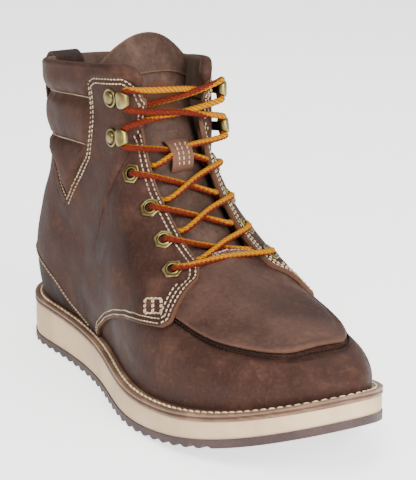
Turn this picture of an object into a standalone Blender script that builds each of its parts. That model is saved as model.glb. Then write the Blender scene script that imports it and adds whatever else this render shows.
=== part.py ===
# Moc toe work boot for the right foot: lasted upper, welt, wedge midsole and ripple outsole.
# +X runs to the toe, +Z up, and the outer side of the foot is at -Y.
# Sizes are in millimetres from the back of the heel, and MM turns them into metres.
import math

import bmesh
import bpy
import numpy as np

MM = 0.001
LATERAL, MEDIAL = -1, 1

# Driving sizes
SOLE_LENGTH = 302.0
TOE_SPRING = 29.5
SPRING_START = 0.57
TOE_SWING = 4.5
SWING_START = 0.45
COLLAR_BACK_Z = 163.0
WALL = 2.2
GAP = 0.3

# Sole layers, thickness in millimetres
OUTSOLE_THICK = 4.6
TOOTH_DEPTH, TOOTH_PITCH = 2.4, 8.8
TOOTH_START, TOOTH_END = 3.0, 252.0
TOOTH_TIP, TOOTH_VALLEY = 2.0, 4.2
MIDSOLE_INSET = 0.6
WELT_THICK = 4.4
WELT_MARGIN = 6.0
WELT_GROOVE, GROOVE_LIP = 0.8, 0.7
WELT_SEAT = 0.5
WELT_COLUMNS = 64
INSOLE_THICK = 3.5
INSOLE_INSET = 9.2
END_LAND = 0.25
SKIRT = -1.0

# Half widths of the sole's edge: along is the share of the length from the heel
SOLE_ROWS = (
    # along, lateral, medial
    (0.00, 33.5, 33.5),
    (0.12, 34.5, 34.5),
    (0.25, 34.8, 34.0),
    (0.42, 41.5, 39.0),
    (0.58, 53.5, 51.0),
    (0.70, 54.6, 54.5),
    (0.82, 52.3, 53.4),
    (0.92, 47.0, 48.0),
    (1.00, 38.5, 38.5),
)
HEEL_ROUND, HEEL_POWER = 0.14, 2.0
TOE_ROUND, TOE_POWER = 0.305, 2.1

# Height of the welt's underside above the tread line
WEDGE_ROWS = (
    # along, height
    (0.00, 23.6),
    (0.25, 21.9),
    (0.62, 15.7),
    (1.00, 12.7),
)

# The last's centre line from the toe over the instep to the front of the collar
RIDGE_ROWS = (
    # around, x, z
    (0.00, 254.0, 64.0),
    (0.14, 248.0, 65.5),
    (0.25, 234.0, 69.5),
    (0.35, 213.0, 76.5),
    (0.43, 190.0, 86.0),
    (0.50, 168.0, 105.5),
    (0.56, 149.0, 129.5),
    (0.59, 142.0, 153.0),
    (0.62, 138.0, 178.0),
)
COLLAR_FRONT = 0.62
COLLAR_X, COLLAR_HALF = (8.0, 138.0), 30.0
COLLAR_FRONT_RISE = 15.0
COLLAR_FRONT_POWER, COLLAR_BACK_POWER = 4.0, 2.2

# How each rib of the last leaves the sole, and how wide and high its shoulder is
RIB_ROWS = (
    # around, rise, swell, over, shoulder
    (0.00, 11.0, 3.0, 24.4, 58.4),
    (0.14, 14.0, 3.5, 29.5, 60.3),
    (0.25, 20.0, 4.5, 32.8, 65.5),
    (0.35, 28.0, 4.0, 37.9, 73.2),
    (0.43, 38.0, 3.0, 45.8, 82.0),
    (0.50, 50.0, 3.0, 47.9, 102.0),
    (0.56, 54.0, 4.0, 45.0, 118.0),
    (0.59, 53.0, 4.5, 41.0, 121.5),
    (0.62, 51.0, 5.0, 37.0, 122.5),
    (0.66, 49.0, 5.5, 31.0, 122.0),
    (0.72, 48.0, 7.0, 23.5, 119.7),
    (0.86, 46.0, 14.0, 13.8, 110.3),
    (1.00, 44.0, 18.0, -17.9, 107.8),
)

# Throat: half its width, and the ribs over which it opens out from the ridge
THROAT_HALF = 17.0
THROAT_BOTTOM, THROAT_OPEN = 0.43, 0.448
THROAT_END = 0.75
CORNER_Z, CORNER_FLARE = 160.0, 0.04

# Heights of the seams over the floor, rib by rib
MOC_SEAM_ROWS = (
    # around, z
    (0.00, 56.0),
    (0.14, 55.5),
    (0.25, 57.0),
    (0.35, 61.0),
    (0.43, 66.0),
)
QUARTER_LOW_ROWS = (
    # around, z
    (0.36, 60.5),
    (0.42, 57.0),
    (0.48, 53.5),
    (0.52, 48.5),
    (0.56, 36.0),
    (0.60, 31.0),
    (0.70, 33.5),
    (0.85, 38.5),
    (1.00, 40.5),
)
QUILT_LOW_ROWS = (
    # around, z
    (0.705, 128.0),
    (0.720, 108.0),
    (0.745, 96.5),
    (0.790, 100.0),
    (0.860, 110.0),
    (0.930, 117.0),
    (1.000, 119.0),
)
QUILT_FRONT, QUILT_FRONT_TOP, QUILT_STEP = 0.705, 0.755, 0.008
COUNTER_FRONT, COUNTER_LIFT = 0.615, 2.2
BACK_SEAM = 0.996
FLAP_LOW, FLAP_HIGH = 0.375, 0.408
FLAP_ROUND_FROM, FLAP_CORNER = 0.85, 0.6
FLAP_DOWN = 0.47
PLUG_END = 0.425

# Leather overlays, thickness in millimetres, and the free space under and between them
PLUG_THICK = 2.0
QUARTER_THICK = 1.8
COUNTER_THICK = 2.1
QUILT_THICK = (1.2, 4.4)
QUILT_ROLLS, QUILT_ROUND = 3, 0.6
OVERLAY_GAP = 1.0
QUILT_GAP = 0.9
SPLIT_GAP = 1.4

# Tongue: its middle line, half width and how far its sides lie back from the middle
TONGUE_ROWS = (
    # x, z, half, sag
    (202.0, 72.0, 20.0, 6.0),
    (186.0, 81.0, 23.5, 9.5),
    (165.0, 98.5, 25.0, 12.0),
    (144.6, 119.6, 23.5, 13.0),
    (128.0, 147.0, 24.0, 11.0),
    (114.5, 170.0, 25.0, 7.0),
    (104.0, 191.0, 27.0, 3.0),
)
TONGUE_THICK = 3.0
TONGUE_PEAK = 15.0

# Lace fittings on each flap: places along the throat
EYELET_ROWS = (
    # x, z
    (185.0, 80.0),
    (168.5, 93.0),
    (152.0, 106.5),
    (135.5, 122.0),
)
HOOK_ROWS = (
    # x, z
    (120.5, 139.5),
    (119.5, 161.0),
)
EYELET_ACROSS, EYELET_HOLE, EYELET_THICK = 10.0, 5.0, 1.2
HOOK_WIDTH = 7.0
HOOK_CURL_ROWS = (
    # reach to the throat and height outside, then the same inside
    (-5.0, 0.0, -5.0, 1.2),
    (6.0, 0.0, 5.5, 1.2),
    (9.0, 1.5, 8.0, 2.3),
    (10.0, 4.0, 8.6, 4.0),
    (9.0, 6.5, 8.0, 5.5),
    (6.0, 7.8, 6.0, 6.5),
    (3.0, 7.4, 3.0, 6.2),
)
LACE_THICK, LACE_START, HUB_SPREAD = 3.2, 7.0, 1.5
EDGE_CLIMB, UNDER_CLIMB, HOOK_CLIMB = 1.0, 9.5, 3.5
UNDER_INWARD, HOOK_INWARD, HOOK_OVER = 3.8, 4.0, 1.5
FIT_GAP = 0.7

# Pull loop at the back: its middle line, from outside up and over the collar
LOOP_ROWS = (
    # x, z
    (2.8, 133.4),
    (0.2, 139.0),
    (-1.2, 147.0),
    (-1.2, 157.0),
    (0.8, 163.4),
    (5.2, 166.8),
    (11.2, 166.6),
    (16.4, 162.6),
    (17.4, 157.5),
)
LOOP_WIDTH, LOOP_THICK = 17.0, 2.0

# Keeper on the tongue that the lace runs under
KEEPER_WIDTH, KEEPER_THICK, KEEPER_BOW = 14.0, 1.6, 8.5
KEEPER_ALONG, KEEPER_REACH, KEEPER_ROUND = 3.48, 0.66, 0.7


def spline(knots, values):
    """A natural cubic curve through the values, as a function of the knots' own measure."""
    knots, values = np.asarray(knots, float), np.asarray(values, float)
    step, count = np.diff(knots), len(knots)
    matrix, right = np.eye(count), np.zeros(count)
    for i in range(1, count - 1):
        matrix[i, i - 1 : i + 2] = step[i - 1], 2 * (step[i - 1] + step[i]), step[i]
        right[i] = 6 * ((values[i + 1] - values[i]) / step[i] - (values[i] - values[i - 1]) / step[i - 1])
    bend = np.linalg.solve(matrix, right)

    def at(t):
        i = np.clip(np.searchsorted(knots, t) - 1, 0, count - 2)
        h, a, b = step[i], knots[i + 1] - t, t - knots[i]
        ends = values[i] * a / h + values[i + 1] * b / h
        return ends + bend[i] * (a**3 / h - a * h) / 6 + bend[i + 1] * (b**3 / h - b * h) / 6

    return at


def columns(rows, mirrors=()):
    """One curve for each column of a table against its first column, level where it meets a mirror."""
    table = np.array(rows, float)
    for at in mirrors:
        beyond = table[np.abs(table[:, 0] - at) > 1e-9] * 1.0
        beyond[:, 0] = 2 * at - beyond[:, 0]
        near = beyond[np.argsort(np.abs(beyond[:, 0] - at))[:3]]
        table = np.vstack([table, near])
    table = table[np.argsort(table[:, 0])].T
    return [spline(table[0], column) for column in table[1:]]


lateral_half, medial_half = columns(SOLE_ROWS)
(wedge_height,) = columns(WEDGE_ROWS)
ridge_x, ridge_z = columns(RIDGE_ROWS, mirrors=(0.0,))
rib_rise, rib_swell, rib_over, rib_shoulder = columns(RIB_ROWS, mirrors=(0.0, 1.0))
(seam_z,) = columns(MOC_SEAM_ROWS, mirrors=(0.0,))
(quarter_low,) = columns(QUARTER_LOW_ROWS, mirrors=(1.0,))
(quilt_low,) = columns(QUILT_LOW_ROWS, mirrors=(1.0,))


def tread_line(x):
    """Height of the tread's tips: flat under heel and ball, then up to the toe."""
    t = np.clip((x / SOLE_LENGTH - SPRING_START) / (1 - SPRING_START), 0, 1)
    return TOE_SPRING * t**2


def welt_under(x):
    return tread_line(x) + wedge_height(np.clip(x / SOLE_LENGTH, 0, 1))


def welt_top(x):
    return welt_under(x) + WELT_THICK


def centre_line(x):
    """The foot's own curve: the toe swings to the inner side."""
    t = np.clip((x / SOLE_LENGTH - SWING_START) / (1 - SWING_START), 0, None)
    return TOE_SWING * t**2


def plan_edge(side, x, inset):
    """y of the sole's edge at x, drawn in by inset."""
    span = SOLE_LENGTH - 2 * inset
    along = np.clip((x - inset) / span, 0, 1)
    heel = (1 - (1 - np.clip(along / HEEL_ROUND, 0, 1)) ** HEEL_POWER) ** (1 / HEEL_POWER)
    toe = (1 - (1 - np.clip((1 - along) / TOE_ROUND, 0, 1)) ** TOE_POWER) ** (1 / TOE_POWER)
    half = (lateral_half if side == LATERAL else medial_half)(along) - inset
    return centre_line(x) + side * half * heel * toe


def edge_point(side, around, inset):
    """Plan point of the sole's edge, drawn in by inset: around is 0 at the toe and 1 at the heel."""
    span = SOLE_LENGTH - 2 * inset
    x = inset + span * (1 + math.cos(math.pi * around)) / 2
    return np.array([x, float(plan_edge(side, x, inset))])


def feather(side, around):
    """Plan point where the upper meets the sole."""
    return edge_point(side, around, WELT_MARGIN)


def outward(side, around):
    """Plan direction square to the feather line."""
    step = 1e-3
    a, b = feather(side, max(around - step, 0)), feather(side, min(around + step, 1))
    if around < step or around > 1 - step:
        return np.array([1.0 if around < 0.5 else -1.0, 0.0])
    run = (b - a) / np.linalg.norm(b - a)
    normal = np.array([-run[1], run[0]])
    return normal if normal[1] * side > 0 else -normal


def top_half(around):
    """Half width of the collar's oval where a rib ends, or none on the ridge."""
    if around <= COLLAR_FRONT:
        return 0.0
    turn = math.pi * (1 - around) / (1 - COLLAR_FRONT)
    power = COLLAR_BACK_POWER if turn < math.pi / 2 else COLLAR_FRONT_POWER
    return COLLAR_HALF * (1 - abs(math.cos(turn)) ** power) ** (1 / power)


def top_point(side, around):
    """Where a rib ends: on the centre line, or on the collar's oval behind its front."""
    if around <= COLLAR_FRONT:
        x, z = float(ridge_x(around)), float(ridge_z(around))
    else:
        back, front = COLLAR_X
        share = (1 - math.cos(math.pi * (1 - around) / (1 - COLLAR_FRONT))) / 2
        x, z = back + (front - back) * share, COLLAR_BACK_Z + COLLAR_FRONT_RISE * share
    return np.array([x, float(centre_line(x)) + side * top_half(around), z])


def last_point(side, around, height):
    """Point of the last: height runs from 0 at the feather line to 1 at the top."""
    foot = feather(side, around)
    out = np.append(outward(side, around), 0.0)
    start = np.append(foot, float(welt_top(foot[0])))
    end = top_point(side, around)
    first = start + out * float(rib_swell(around)) + np.array([0.0, 0.0, float(rib_rise(around))])
    last = end + out * (float(rib_over(around)) - top_half(around))
    last[2] = float(rib_shoulder(around))
    t = height
    return (1 - t) ** 3 * start + 3 * t * (1 - t) ** 2 * first + 3 * t**2 * (1 - t) * last + t**3 * end


def cut_height(side, around, opened=1.0):
    """Height on a rib where the throat's edge cuts it off, or 1 where the collar ends it."""
    if around > THROAT_END:
        return 1.0

    def outside(t):
        p = last_point(side, around, t)
        half = THROAT_HALF + CORNER_FLARE * max(p[2] - CORNER_Z, 0) ** 2
        return abs(p[1] - float(centre_line(p[0]))) > half * math.sin(opened * math.pi / 2)

    return last_true(outside)


def last_true(test):
    """Largest height up to 1 that passes the test, by halving."""
    if test(1.0):
        return 1.0
    low, high = 0.0, 1.0
    for _ in range(30):
        middle = (low + high) / 2
        low, high = (middle, high) if test(middle) else (low, middle)
    return low


def height_at(side, around, z):
    """Height on a rib that reaches level z."""
    return last_true(lambda t: last_point(side, around, t)[2] < z)


def place(turn):
    """Side and rib of a turn round the boot: 0 toe, 1 heel by the inner side, 2 toe by the outer side."""
    turn = turn % 2
    return (MEDIAL, turn) if turn <= 1 else (LATERAL, 2 - turn)


def turn_of(side, around):
    return around if side == MEDIAL else 2 - around


def surface(turn, height, lift=0.0):
    """Point of the upper's outside, lifted off it along its normal."""
    point = last_point(*place(turn), height)
    if lift == 0.0:
        return point
    return point + lift * normal(turn, height)


def normal(turn, height):
    step, t = 2e-3, min(max(height, 0.01), 0.985)
    along = last_point(*place(turn + step), t) - last_point(*place(turn - step), t)
    rise = last_point(*place(turn), t + step) - last_point(*place(turn), t - step)
    out = np.cross(along, rise)
    if height >= 1 and place(turn)[1] <= THROAT_BOTTOM + 1e-9:
        out[1] = 0.0
    return out / np.linalg.norm(out)


def locate(side, x, z):
    """Turn and height of the surface point at a given x and z, by ever closer steps from a coarse net."""
    target = np.array([x, z])

    def miss(place_on_last):
        return float(np.linalg.norm(last_point(side, *place_on_last)[[0, 2]] - target))

    net_points = [(a, t) for a in np.linspace(0.40, 0.80, 21) for t in np.linspace(0.40, 0.98, 15)]
    best, reach = min(net_points, key=miss), np.array([0.02, 0.04])
    for _ in range(60):
        tries = [tuple(best + reach * way) for way in ((1, 0), (-1, 0), (0, 1), (0, -1), (1, 1), (-1, -1))]
        closest = min(tries, key=miss)
        best, reach = (closest, reach) if miss(closest) < miss(best) else (best, reach * 0.6)
    return turn_of(side, best[0]), best[1]


def material(name, colour, roughness, metallic=0.0):
    made = bpy.data.materials.new(name)
    made.use_nodes = True
    shader = made.node_tree.nodes["Principled BSDF"]
    shader.inputs["Base Color"].default_value = (*colour, 1.0)
    shader.inputs["Roughness"].default_value = roughness
    shader.inputs["Metallic"].default_value = metallic
    return made


def solid(name, points, faces, finish):
    """One closed mesh object from points in millimetres."""
    mesh = bpy.data.meshes.new(name)
    bm = bmesh.new()
    verts = [bm.verts.new(np.asarray(p) * MM) for p in points]
    for face in faces:
        bm.faces.new([verts[i] for i in face])
    bmesh.ops.triangulate(bm, faces=bm.faces)
    bmesh.ops.recalc_face_normals(bm, faces=bm.faces)
    if bm.calc_volume(signed=True) < 0:
        bmesh.ops.reverse_faces(bm, faces=bm.faces)
    bm.to_mesh(mesh)
    bm.free()
    mesh.materials.append(finish)
    made = bpy.data.objects.new(name, mesh)
    bpy.context.collection.objects.link(made)
    return made


def skin(name, quads, outer, inner, finish):
    """A wall between an outer and an inner sheet over the same keys, closed along its free edges."""
    keys = list(dict.fromkeys(key for quad in quads for key in quad))
    index = {key: i for i, key in enumerate(keys)}
    count = len(keys)
    points = [outer(key) for key in keys] + [inner(key) for key in keys]
    faces, edges = [], {}
    for quad in quads:
        ring = list(dict.fromkeys(index[key] for key in quad))
        faces.append(ring)
        faces.append([i + count for i in reversed(ring)])
        for a, b in zip(ring, ring[1:] + ring[:1]):
            edges[frozenset((a, b))] = None if frozenset((a, b)) in edges else (a, b)
    faces += [(b, a, a + count, b + count) for a, b in filter(None, edges.values())]
    return solid(name, points, faces, finish)


def net(columns_of_keys):
    """Quads between neighbouring columns of keys, as far up as both columns go."""
    quads = []
    for left, right in zip(columns_of_keys, columns_of_keys[1:]):
        shared = min(len(left), len(right)) - 1
        quads += [(left[i], right[i], right[i + 1], left[i + 1]) for i in range(shared)]
    return quads


def spread(*stops):
    """Values between stops: pairs of a stop and the number of steps after it, then the last stop."""
    values = []
    for (start, steps), follow in zip(stops[:-1], stops[1:]):
        end = follow[0] if isinstance(follow, tuple) else follow
        values += list(np.linspace(start, end, steps, endpoint=False))
    return values + [stops[-1]]


def both_ways(arounds):
    """Turns from the toe by the inner side to the heel and back by the outer side."""
    return [turn_of(MEDIAL, a) for a in arounds] + [turn_of(LATERAL, a) for a in reversed(arounds[:-1])]


def ridge_key(turn, height):
    """The two sides share their points on the ridge and at the toe."""
    side, around = place(turn)
    if height >= 1 and around <= THROAT_BOTTOM + 1e-9:
        return (round(around, 9), 1.0)
    return (turn % 2, height)


# Sole


def slab(name, stations, low, high, inset, finish):
    """A layer of the sole: its sections across the boot, joined from heel to toe."""
    points, faces = [], []
    for x in stations:
        for side, level in ((LATERAL, low), (MEDIAL, low), (MEDIAL, high), (LATERAL, high)):
            points.append((x, float(plan_edge(side, x, inset)), float(level(x))))
    last = 4 * (len(stations) - 1)
    for i in range(0, last, 4):
        faces += [(i + a, i + b, i + 4 + b, i + 4 + a) for a, b in ((0, 1), (1, 2), (2, 3), (3, 0))]
    faces += [(3, 2, 1, 0), (last, last + 1, last + 2, last + 3)]
    return solid(name, points, faces, finish)


def end_stations(inset, count):
    """Stations close together at heel and toe, where the outline turns."""
    span = SOLE_LENGTH - 2 * inset - 2 * END_LAND
    return [inset + END_LAND + span * (1 - math.cos(math.pi * i / count)) / 2 for i in range(count + 1)]


def tooth_depth(x):
    """Depth of the tread's grooves: a flat tip, a steep back and a long front."""
    if x > TOOTH_END:
        return 0.0
    part = (x - TOOTH_START) % TOOTH_PITCH
    return float(np.interp(part, (0, TOOTH_TIP, TOOTH_VALLEY, TOOTH_PITCH), (0, 0, TOOTH_DEPTH, 0)))


def make_outsole(finish):
    count = int((TOOTH_END - TOOTH_START) / TOOTH_PITCH)
    breaks = [TOOTH_START + i * TOOTH_PITCH + d for i in range(count) for d in (0, TOOTH_TIP, TOOTH_VALLEY)]
    breaks.append(TOOTH_START + count * TOOTH_PITCH)
    rim = [x for x in end_stations(0.0, 60) if x < breaks[0] - 0.5 or x > breaks[-1] + 1.5]
    slab("outsole", sorted(rim + breaks), lambda x: tread_line(x) + tooth_depth(x),
         lambda x: tread_line(x) + OUTSOLE_THICK, 0.0, finish)


def midsole_top(x):
    return welt_under(x) - GAP


def make_midsole(finish):
    slab("midsole", end_stations(MIDSOLE_INSET, 44), lambda x: tread_line(x) + OUTSOLE_THICK + GAP,
         midsole_top, MIDSOLE_INSET, finish)


def make_insole(finish):
    slab("insole", end_stations(INSOLE_INSET, 30), lambda x: midsole_top(x) + GAP,
         lambda x: midsole_top(x) + GAP + INSOLE_THICK, INSOLE_INSET, finish)


def make_welt(finish):
    """A ring with a groove round its outer face."""
    middle, lip = WELT_THICK / 2, GROOVE_LIP
    profile = (
        # inset, height over the underside
        (0.0, 0.0),
        (0.0, middle - lip),
        (WELT_GROOVE, middle),
        (0.0, middle + lip),
        (0.0, WELT_THICK),
        (WELT_MARGIN - WELT_SEAT, WELT_THICK),
        (WELT_MARGIN - WELT_SEAT, 0.0),
    )
    turns = [2 * i / WELT_COLUMNS for i in range(WELT_COLUMNS)]
    points, faces, rows = [], [], len(profile)
    for turn in turns:
        for inset, height in profile:
            x, y = edge_point(*place(turn), inset)
            points.append((x, y, float(welt_under(x)) + height))
    for i in range(WELT_COLUMNS):
        a, b = i * rows, (i + 1) % WELT_COLUMNS * rows
        faces += [(a + k, b + k, b + (k + 1) % rows, a + (k + 1) % rows) for k in range(rows)]
    solid("welt", points, faces, finish)


# Upper


def make_upper(finish):
    """The lasted shell: a skirt inside the welt, then the ribs up to ridge, throat and collar."""
    arounds = spread((0.0, 11), (THROAT_BOTTOM, 4), (THROAT_OPEN, 11), (THROAT_END, 9), 1.0)
    keys = []
    for turn in both_ways(arounds)[:-1]:
        side, around = place(turn)
        opened = np.clip((around - THROAT_BOTTOM) / (THROAT_OPEN - THROAT_BOTTOM), 0, 1)
        top = cut_height(side, around, opened) if around > THROAT_BOTTOM else 1.0
        keys.append([(turn % 2, SKIRT)] + [ridge_key(turn, row * top) for row in spread((0.0, 9), 1.0)])
    quads = net(keys + keys[:1])

    def wall(lift):
        def at(key):
            if key[1] != SKIRT:
                return surface(*key, lift)
            foot = surface(key[0], 0.0, lift)
            return np.array([foot[0], foot[1], float(midsole_top(foot[0])) + GAP])

        return at

    skin("upper", quads, wall(0.0), wall(-WALL), finish)


def make_plug(finish):
    """The raised apron inside the moc seam, over both sides of the ridge."""
    arounds = spread((0.0, 12), PLUG_END)
    keys = []
    for turn in [-a for a in reversed(arounds)] + arounds[1:]:
        side, around = place(turn)
        low = height_at(side, around, float(seam_z(around)))
        keys.append([ridge_key(turn, low + (1 - low) * q) for q in spread((0.0, 5), 1.0)])
    under = OVERLAY_GAP
    skin("plug", net(keys), lambda k: surface(*k, under + PLUG_THICK), lambda k: surface(*k, under), finish)


def flap_lift(around):
    """The flap's front rides over the plug, then comes down onto the shell."""
    t = np.clip((FLAP_DOWN - around) / (FLAP_DOWN - PLUG_END), 0, 1)
    return OVERLAY_GAP + (PLUG_THICK + OVERLAY_GAP + GAP) * t * t * (3 - 2 * t)


def flap_front(level):
    """Rib of the flap's front edge: slanted, with a rounded upper corner."""
    return FLAP_LOW + (FLAP_HIGH - FLAP_LOW) * level + FLAP_CORNER * max(level - FLAP_ROUND_FROM, 0) ** 2


def quilt_front(level):
    """Rib of the quilted collar's front edge, which stands upright."""
    return QUILT_FRONT + (QUILT_FRONT_TOP - QUILT_FRONT) * max(level, 0)


def make_quarter(name, side, finish):
    """One side's quarter and eyestay: up to the throat's edge, and under the quilted collar behind."""

    def bounds(around):
        return height_at(side, around, float(quarter_low(around))), cut_height(side, around)

    def under_quilt(around):
        return height_at(side, around, float(quilt_low(around)) - SPLIT_GAP)

    low, top = bounds(QUILT_FRONT)
    share = (under_quilt(QUILT_FRONT) - low) / (top - low)
    low_levels = spread((0.0, 6), share)
    levels = low_levels + spread((share, 4), 1.0)[1:]
    keys = []
    for back in spread((0.0, 10), 1.0):
        column = []
        for level in levels:
            rear = quilt_front((level - share) / (1 - share))
            around = flap_front(level) * (1 - back) + rear * back
            low, top = bounds(around)
            column.append((turn_of(side, around), low + (top - low) * level))
        keys.append(column)
    for around in spread((QUILT_FRONT, 9), BACK_SEAM)[1:]:
        low, top = bounds(around)[0], under_quilt(around)
        keys.append([(turn_of(side, around), low + (top - low) * level / share) for level in low_levels])

    def under(key):
        return surface(*key, flap_lift(place(key[0])[1]))

    def over(key):
        return surface(*key, flap_lift(place(key[0])[1]) + QUARTER_THICK)

    skin(name, net(keys), over, under, finish)


def make_counter(finish):
    """The low crescent round the heel, between welt and quarters."""
    keys = []
    for turn in both_ways(spread((COUNTER_FRONT, 14), 1.0)):
        side, around = place(turn)
        low = height_at(side, around, float(welt_top(feather(side, around)[0])) + COUNTER_LIFT)
        high = height_at(side, around, float(quarter_low(around)) - SPLIT_GAP)
        keys.append([(turn, low + (high - low) * q) for q in spread((0.0, 3), 1.0)])
    skin("heel_counter", net(keys), lambda k: surface(*k, OVERLAY_GAP + COUNTER_THICK),
         lambda k: surface(*k, OVERLAY_GAP), finish)


def make_quilt(finish):
    """The padded collar: rolls one above the other round the back, from eyestay to eyestay."""
    thin, thick = QUILT_THICK
    keys, puff = [], {}
    steps = spread((0.0, 12), 1.0)
    for side, back in [(MEDIAL, k) for k in steps] + [(LATERAL, k) for k in reversed(steps[:-1])]:
        column = []
        for level in spread((0.0, QUILT_ROLLS * 4), 1.0):
            front = quilt_front(level) + QUILT_STEP
            around = front + (1 - front) * back
            low = height_at(side, around, float(quilt_low(QUILT_FRONT + (1 - QUILT_FRONT) * back)))
            key = (turn_of(side, around), low + (1 - low) * level)
            puff[key] = thin + (thick - thin) * abs(math.sin(math.pi * QUILT_ROLLS * level)) ** QUILT_ROUND
            column.append(key)
        keys.append(column)
    skin("quilted_collar", net(keys), lambda k: surface(*k, QUILT_GAP + puff[k]),
         lambda k: surface(*k, QUILT_GAP), finish)


# Tongue

tongue_x, tongue_z, tongue_half, tongue_sag = columns([(i, *row) for i, row in enumerate(TONGUE_ROWS)])


def tongue_point(along, across, lift=0.0):
    """Point of the tongue's front: along its middle line, and across from -1 to 1."""
    step = 1e-3
    run = np.array([float(c(along + step) - c(along - step)) for c in (tongue_x, tongue_z)])
    out = np.array([run[1], -run[0]]) / np.linalg.norm(run)
    out = out if out[0] > 0 else -out
    x, z = np.array([float(tongue_x(along)), float(tongue_z(along))])
    x, z = np.array([x, z]) + out * (lift - float(tongue_sag(along)) * across**2)
    upper_share = max(2 * along / (len(TONGUE_ROWS) - 1) - 1, 0)
    peak = TONGUE_PEAK * upper_share * across**2
    y = float(centre_line(x)) + float(tongue_half(along)) * across
    return np.array([x, y, z - peak])


def make_tongue(finish):
    keys = [[(a, c) for a in spread((0.0, 16), len(TONGUE_ROWS) - 1.0)] for c in spread((-1.0, 10), 1.0)]
    skin("tongue", net(keys), lambda k: tongue_point(*k), lambda k: tongue_point(*k, -TONGUE_THICK), finish)


def make_keeper(finish):
    """A strap bowed over the tongue, its ends resting on it."""
    keys = [[(i, j) for j in spread((0.0, 8), 1.0)] for i in (0.0, 0.5, 1.0)]

    def at(lift):
        def point(key):
            along = KEEPER_ALONG + (key[1] - 0.5) * KEEPER_REACH
            bow = KEEPER_BOW * math.sin(math.pi * key[1]) ** KEEPER_ROUND
            across = (key[0] - 0.5) * KEEPER_WIDTH / float(tongue_half(along))
            return tongue_point(along, across, FIT_GAP + bow + lift)

        return point

    skin("lace_keeper", net(keys), at(KEEPER_THICK), at(0.0), finish)


def make_loop(finish):
    """The pull loop: a strap from the back of the shaft up and over the collar."""
    loop_x, loop_z = columns([(i, *row) for i, row in enumerate(LOOP_ROWS)])
    keys = [[(i, side) for side in (-0.5, 0.5)] for i in spread((0.0, 18), len(LOOP_ROWS) - 1.0)]

    def at(lift):
        def point(key):
            step = 1e-3
            run = np.array([float(c(key[0] + step) - c(key[0] - step)) for c in (loop_x, loop_z)])
            out = np.array([-run[1], run[0]]) / np.linalg.norm(run)
            x, z = np.array([float(loop_x(key[0])), float(loop_z(key[0]))]) + out * lift
            return np.array([x, key[1] * LOOP_WIDTH, z])

        return point

    skin("pull_loop", net(keys), at(LOOP_THICK / 2), at(-LOOP_THICK / 2), finish)


# Lace fittings


def throat_edge(side, z, over, inward):
    """Point at the throat's edge at level z, raised over the flap and moved in over the tongue."""
    low, high = FLAP_HIGH, THROAT_END
    for _ in range(30):
        middle = (low + high) / 2
        below = last_point(side, middle, cut_height(side, middle))[2] < z
        low, high = (middle, high) if below else (low, middle)
    point = surface(turn_of(side, low), cut_height(side, low), flap_lift(low) + QUARTER_THICK + over)
    return point - np.array([0.0, side * inward, 0.0])


def fitting_frame(side, x, z):
    """Origin on the flap's outside, the way to the throat's edge, the way along it, and out."""
    turn, height = locate(side, x, z)
    out = normal(turn, height)
    around = place(turn)[1]
    origin = surface(turn, height, flap_lift(around) + QUARTER_THICK + FIT_GAP)
    inward = throat_edge(side, z, 0.0, 0.0) - origin
    inward = inward - out * (inward @ out)
    inward /= np.linalg.norm(inward)
    return origin, inward, np.cross(out, inward), out


def make_eyelet(name, side, x, z, finish):
    """A six-sided ring, its hole clear."""
    origin, across, along, out = fitting_frame(side, x, z)
    points, faces = [], []
    for i in range(12):
        turn = math.pi * i / 6
        way = across * math.cos(turn) + along * math.sin(turn)
        corner = EYELET_ACROSS / 2 / (1.0 if i % 2 else math.cos(math.pi / 6))
        hole = EYELET_HOLE / 2
        for radius, height in ((corner, 0), (corner, EYELET_THICK), (hole, EYELET_THICK), (hole, 0)):
            points.append(origin + way * radius + out * height)
    for i in range(12):
        a, b = 4 * i, 4 * ((i + 1) % 12)
        faces += [(a + k, b + k, b + (k + 1) % 4, a + (k + 1) % 4) for k in range(4)]
    solid(name, points, faces, finish)


def make_hook(name, side, x, z, finish):
    """A plate riveted to the flap whose front end curls up and back over the lace."""
    origin, across, along, out = fitting_frame(side, x, z)
    points, faces = [], []
    for out_reach, out_height, in_reach, in_height in HOOK_CURL_ROWS:
        for half in (-HOOK_WIDTH / 2, HOOK_WIDTH / 2):
            points.append(origin + across * out_reach + out * out_height + along * half)
        for half in (HOOK_WIDTH / 2, -HOOK_WIDTH / 2):
            points.append(origin + across * in_reach + out * in_height + along * half)
    last = 4 * (len(HOOK_CURL_ROWS) - 1)
    for i in range(0, last, 4):
        faces += [(i + k, i + (k + 1) % 4, i + 4 + (k + 1) % 4, i + 4 + k) for k in range(4)]
    faces += [(3, 2, 1, 0), (last, last + 1, last + 2, last + 3)]
    solid(name, points, faces, finish)


def sweep(points, faces, ring, path, before, up):
    """Carry a square ring of lace along a path and close its end."""
    size = LACE_THICK / 2
    for i, point in enumerate(path):
        after = path[min(i + 1, len(path) - 1)]
        way = (after - before) / np.linalg.norm(after - before)
        flat = np.cross(up, way)
        flat /= np.linalg.norm(flat)
        lift = np.cross(way, flat)
        start = len(points)
        points += [point + flat * a * size + lift * b * size for a, b in ((-1, -1), (1, -1), (1, 1), (-1, 1))]
        if ring:
            faces += [(ring[j], ring[(j + 1) % 4], start + (j + 1) % 4, start + j) for j in range(4)]
        else:
            faces.append((start + 3, start + 2, start + 1, start))
        ring, before = [start + j for j in range(4)], point
    faces.append(tuple(ring))


def lace_end(side, x, z):
    """Where a strand reaches its eyelet, over the ring."""
    origin, across, along, out = fitting_frame(side, x, z)
    return origin + out * (EYELET_THICK + FIT_GAP + LACE_THICK / 2) + across * LACE_START


def over_edge(side, z):
    """A strand's place on top of the flap's edge."""
    return throat_edge(side, z, LACE_THICK / 2 + 2 * FIT_GAP, 0.0)


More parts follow.
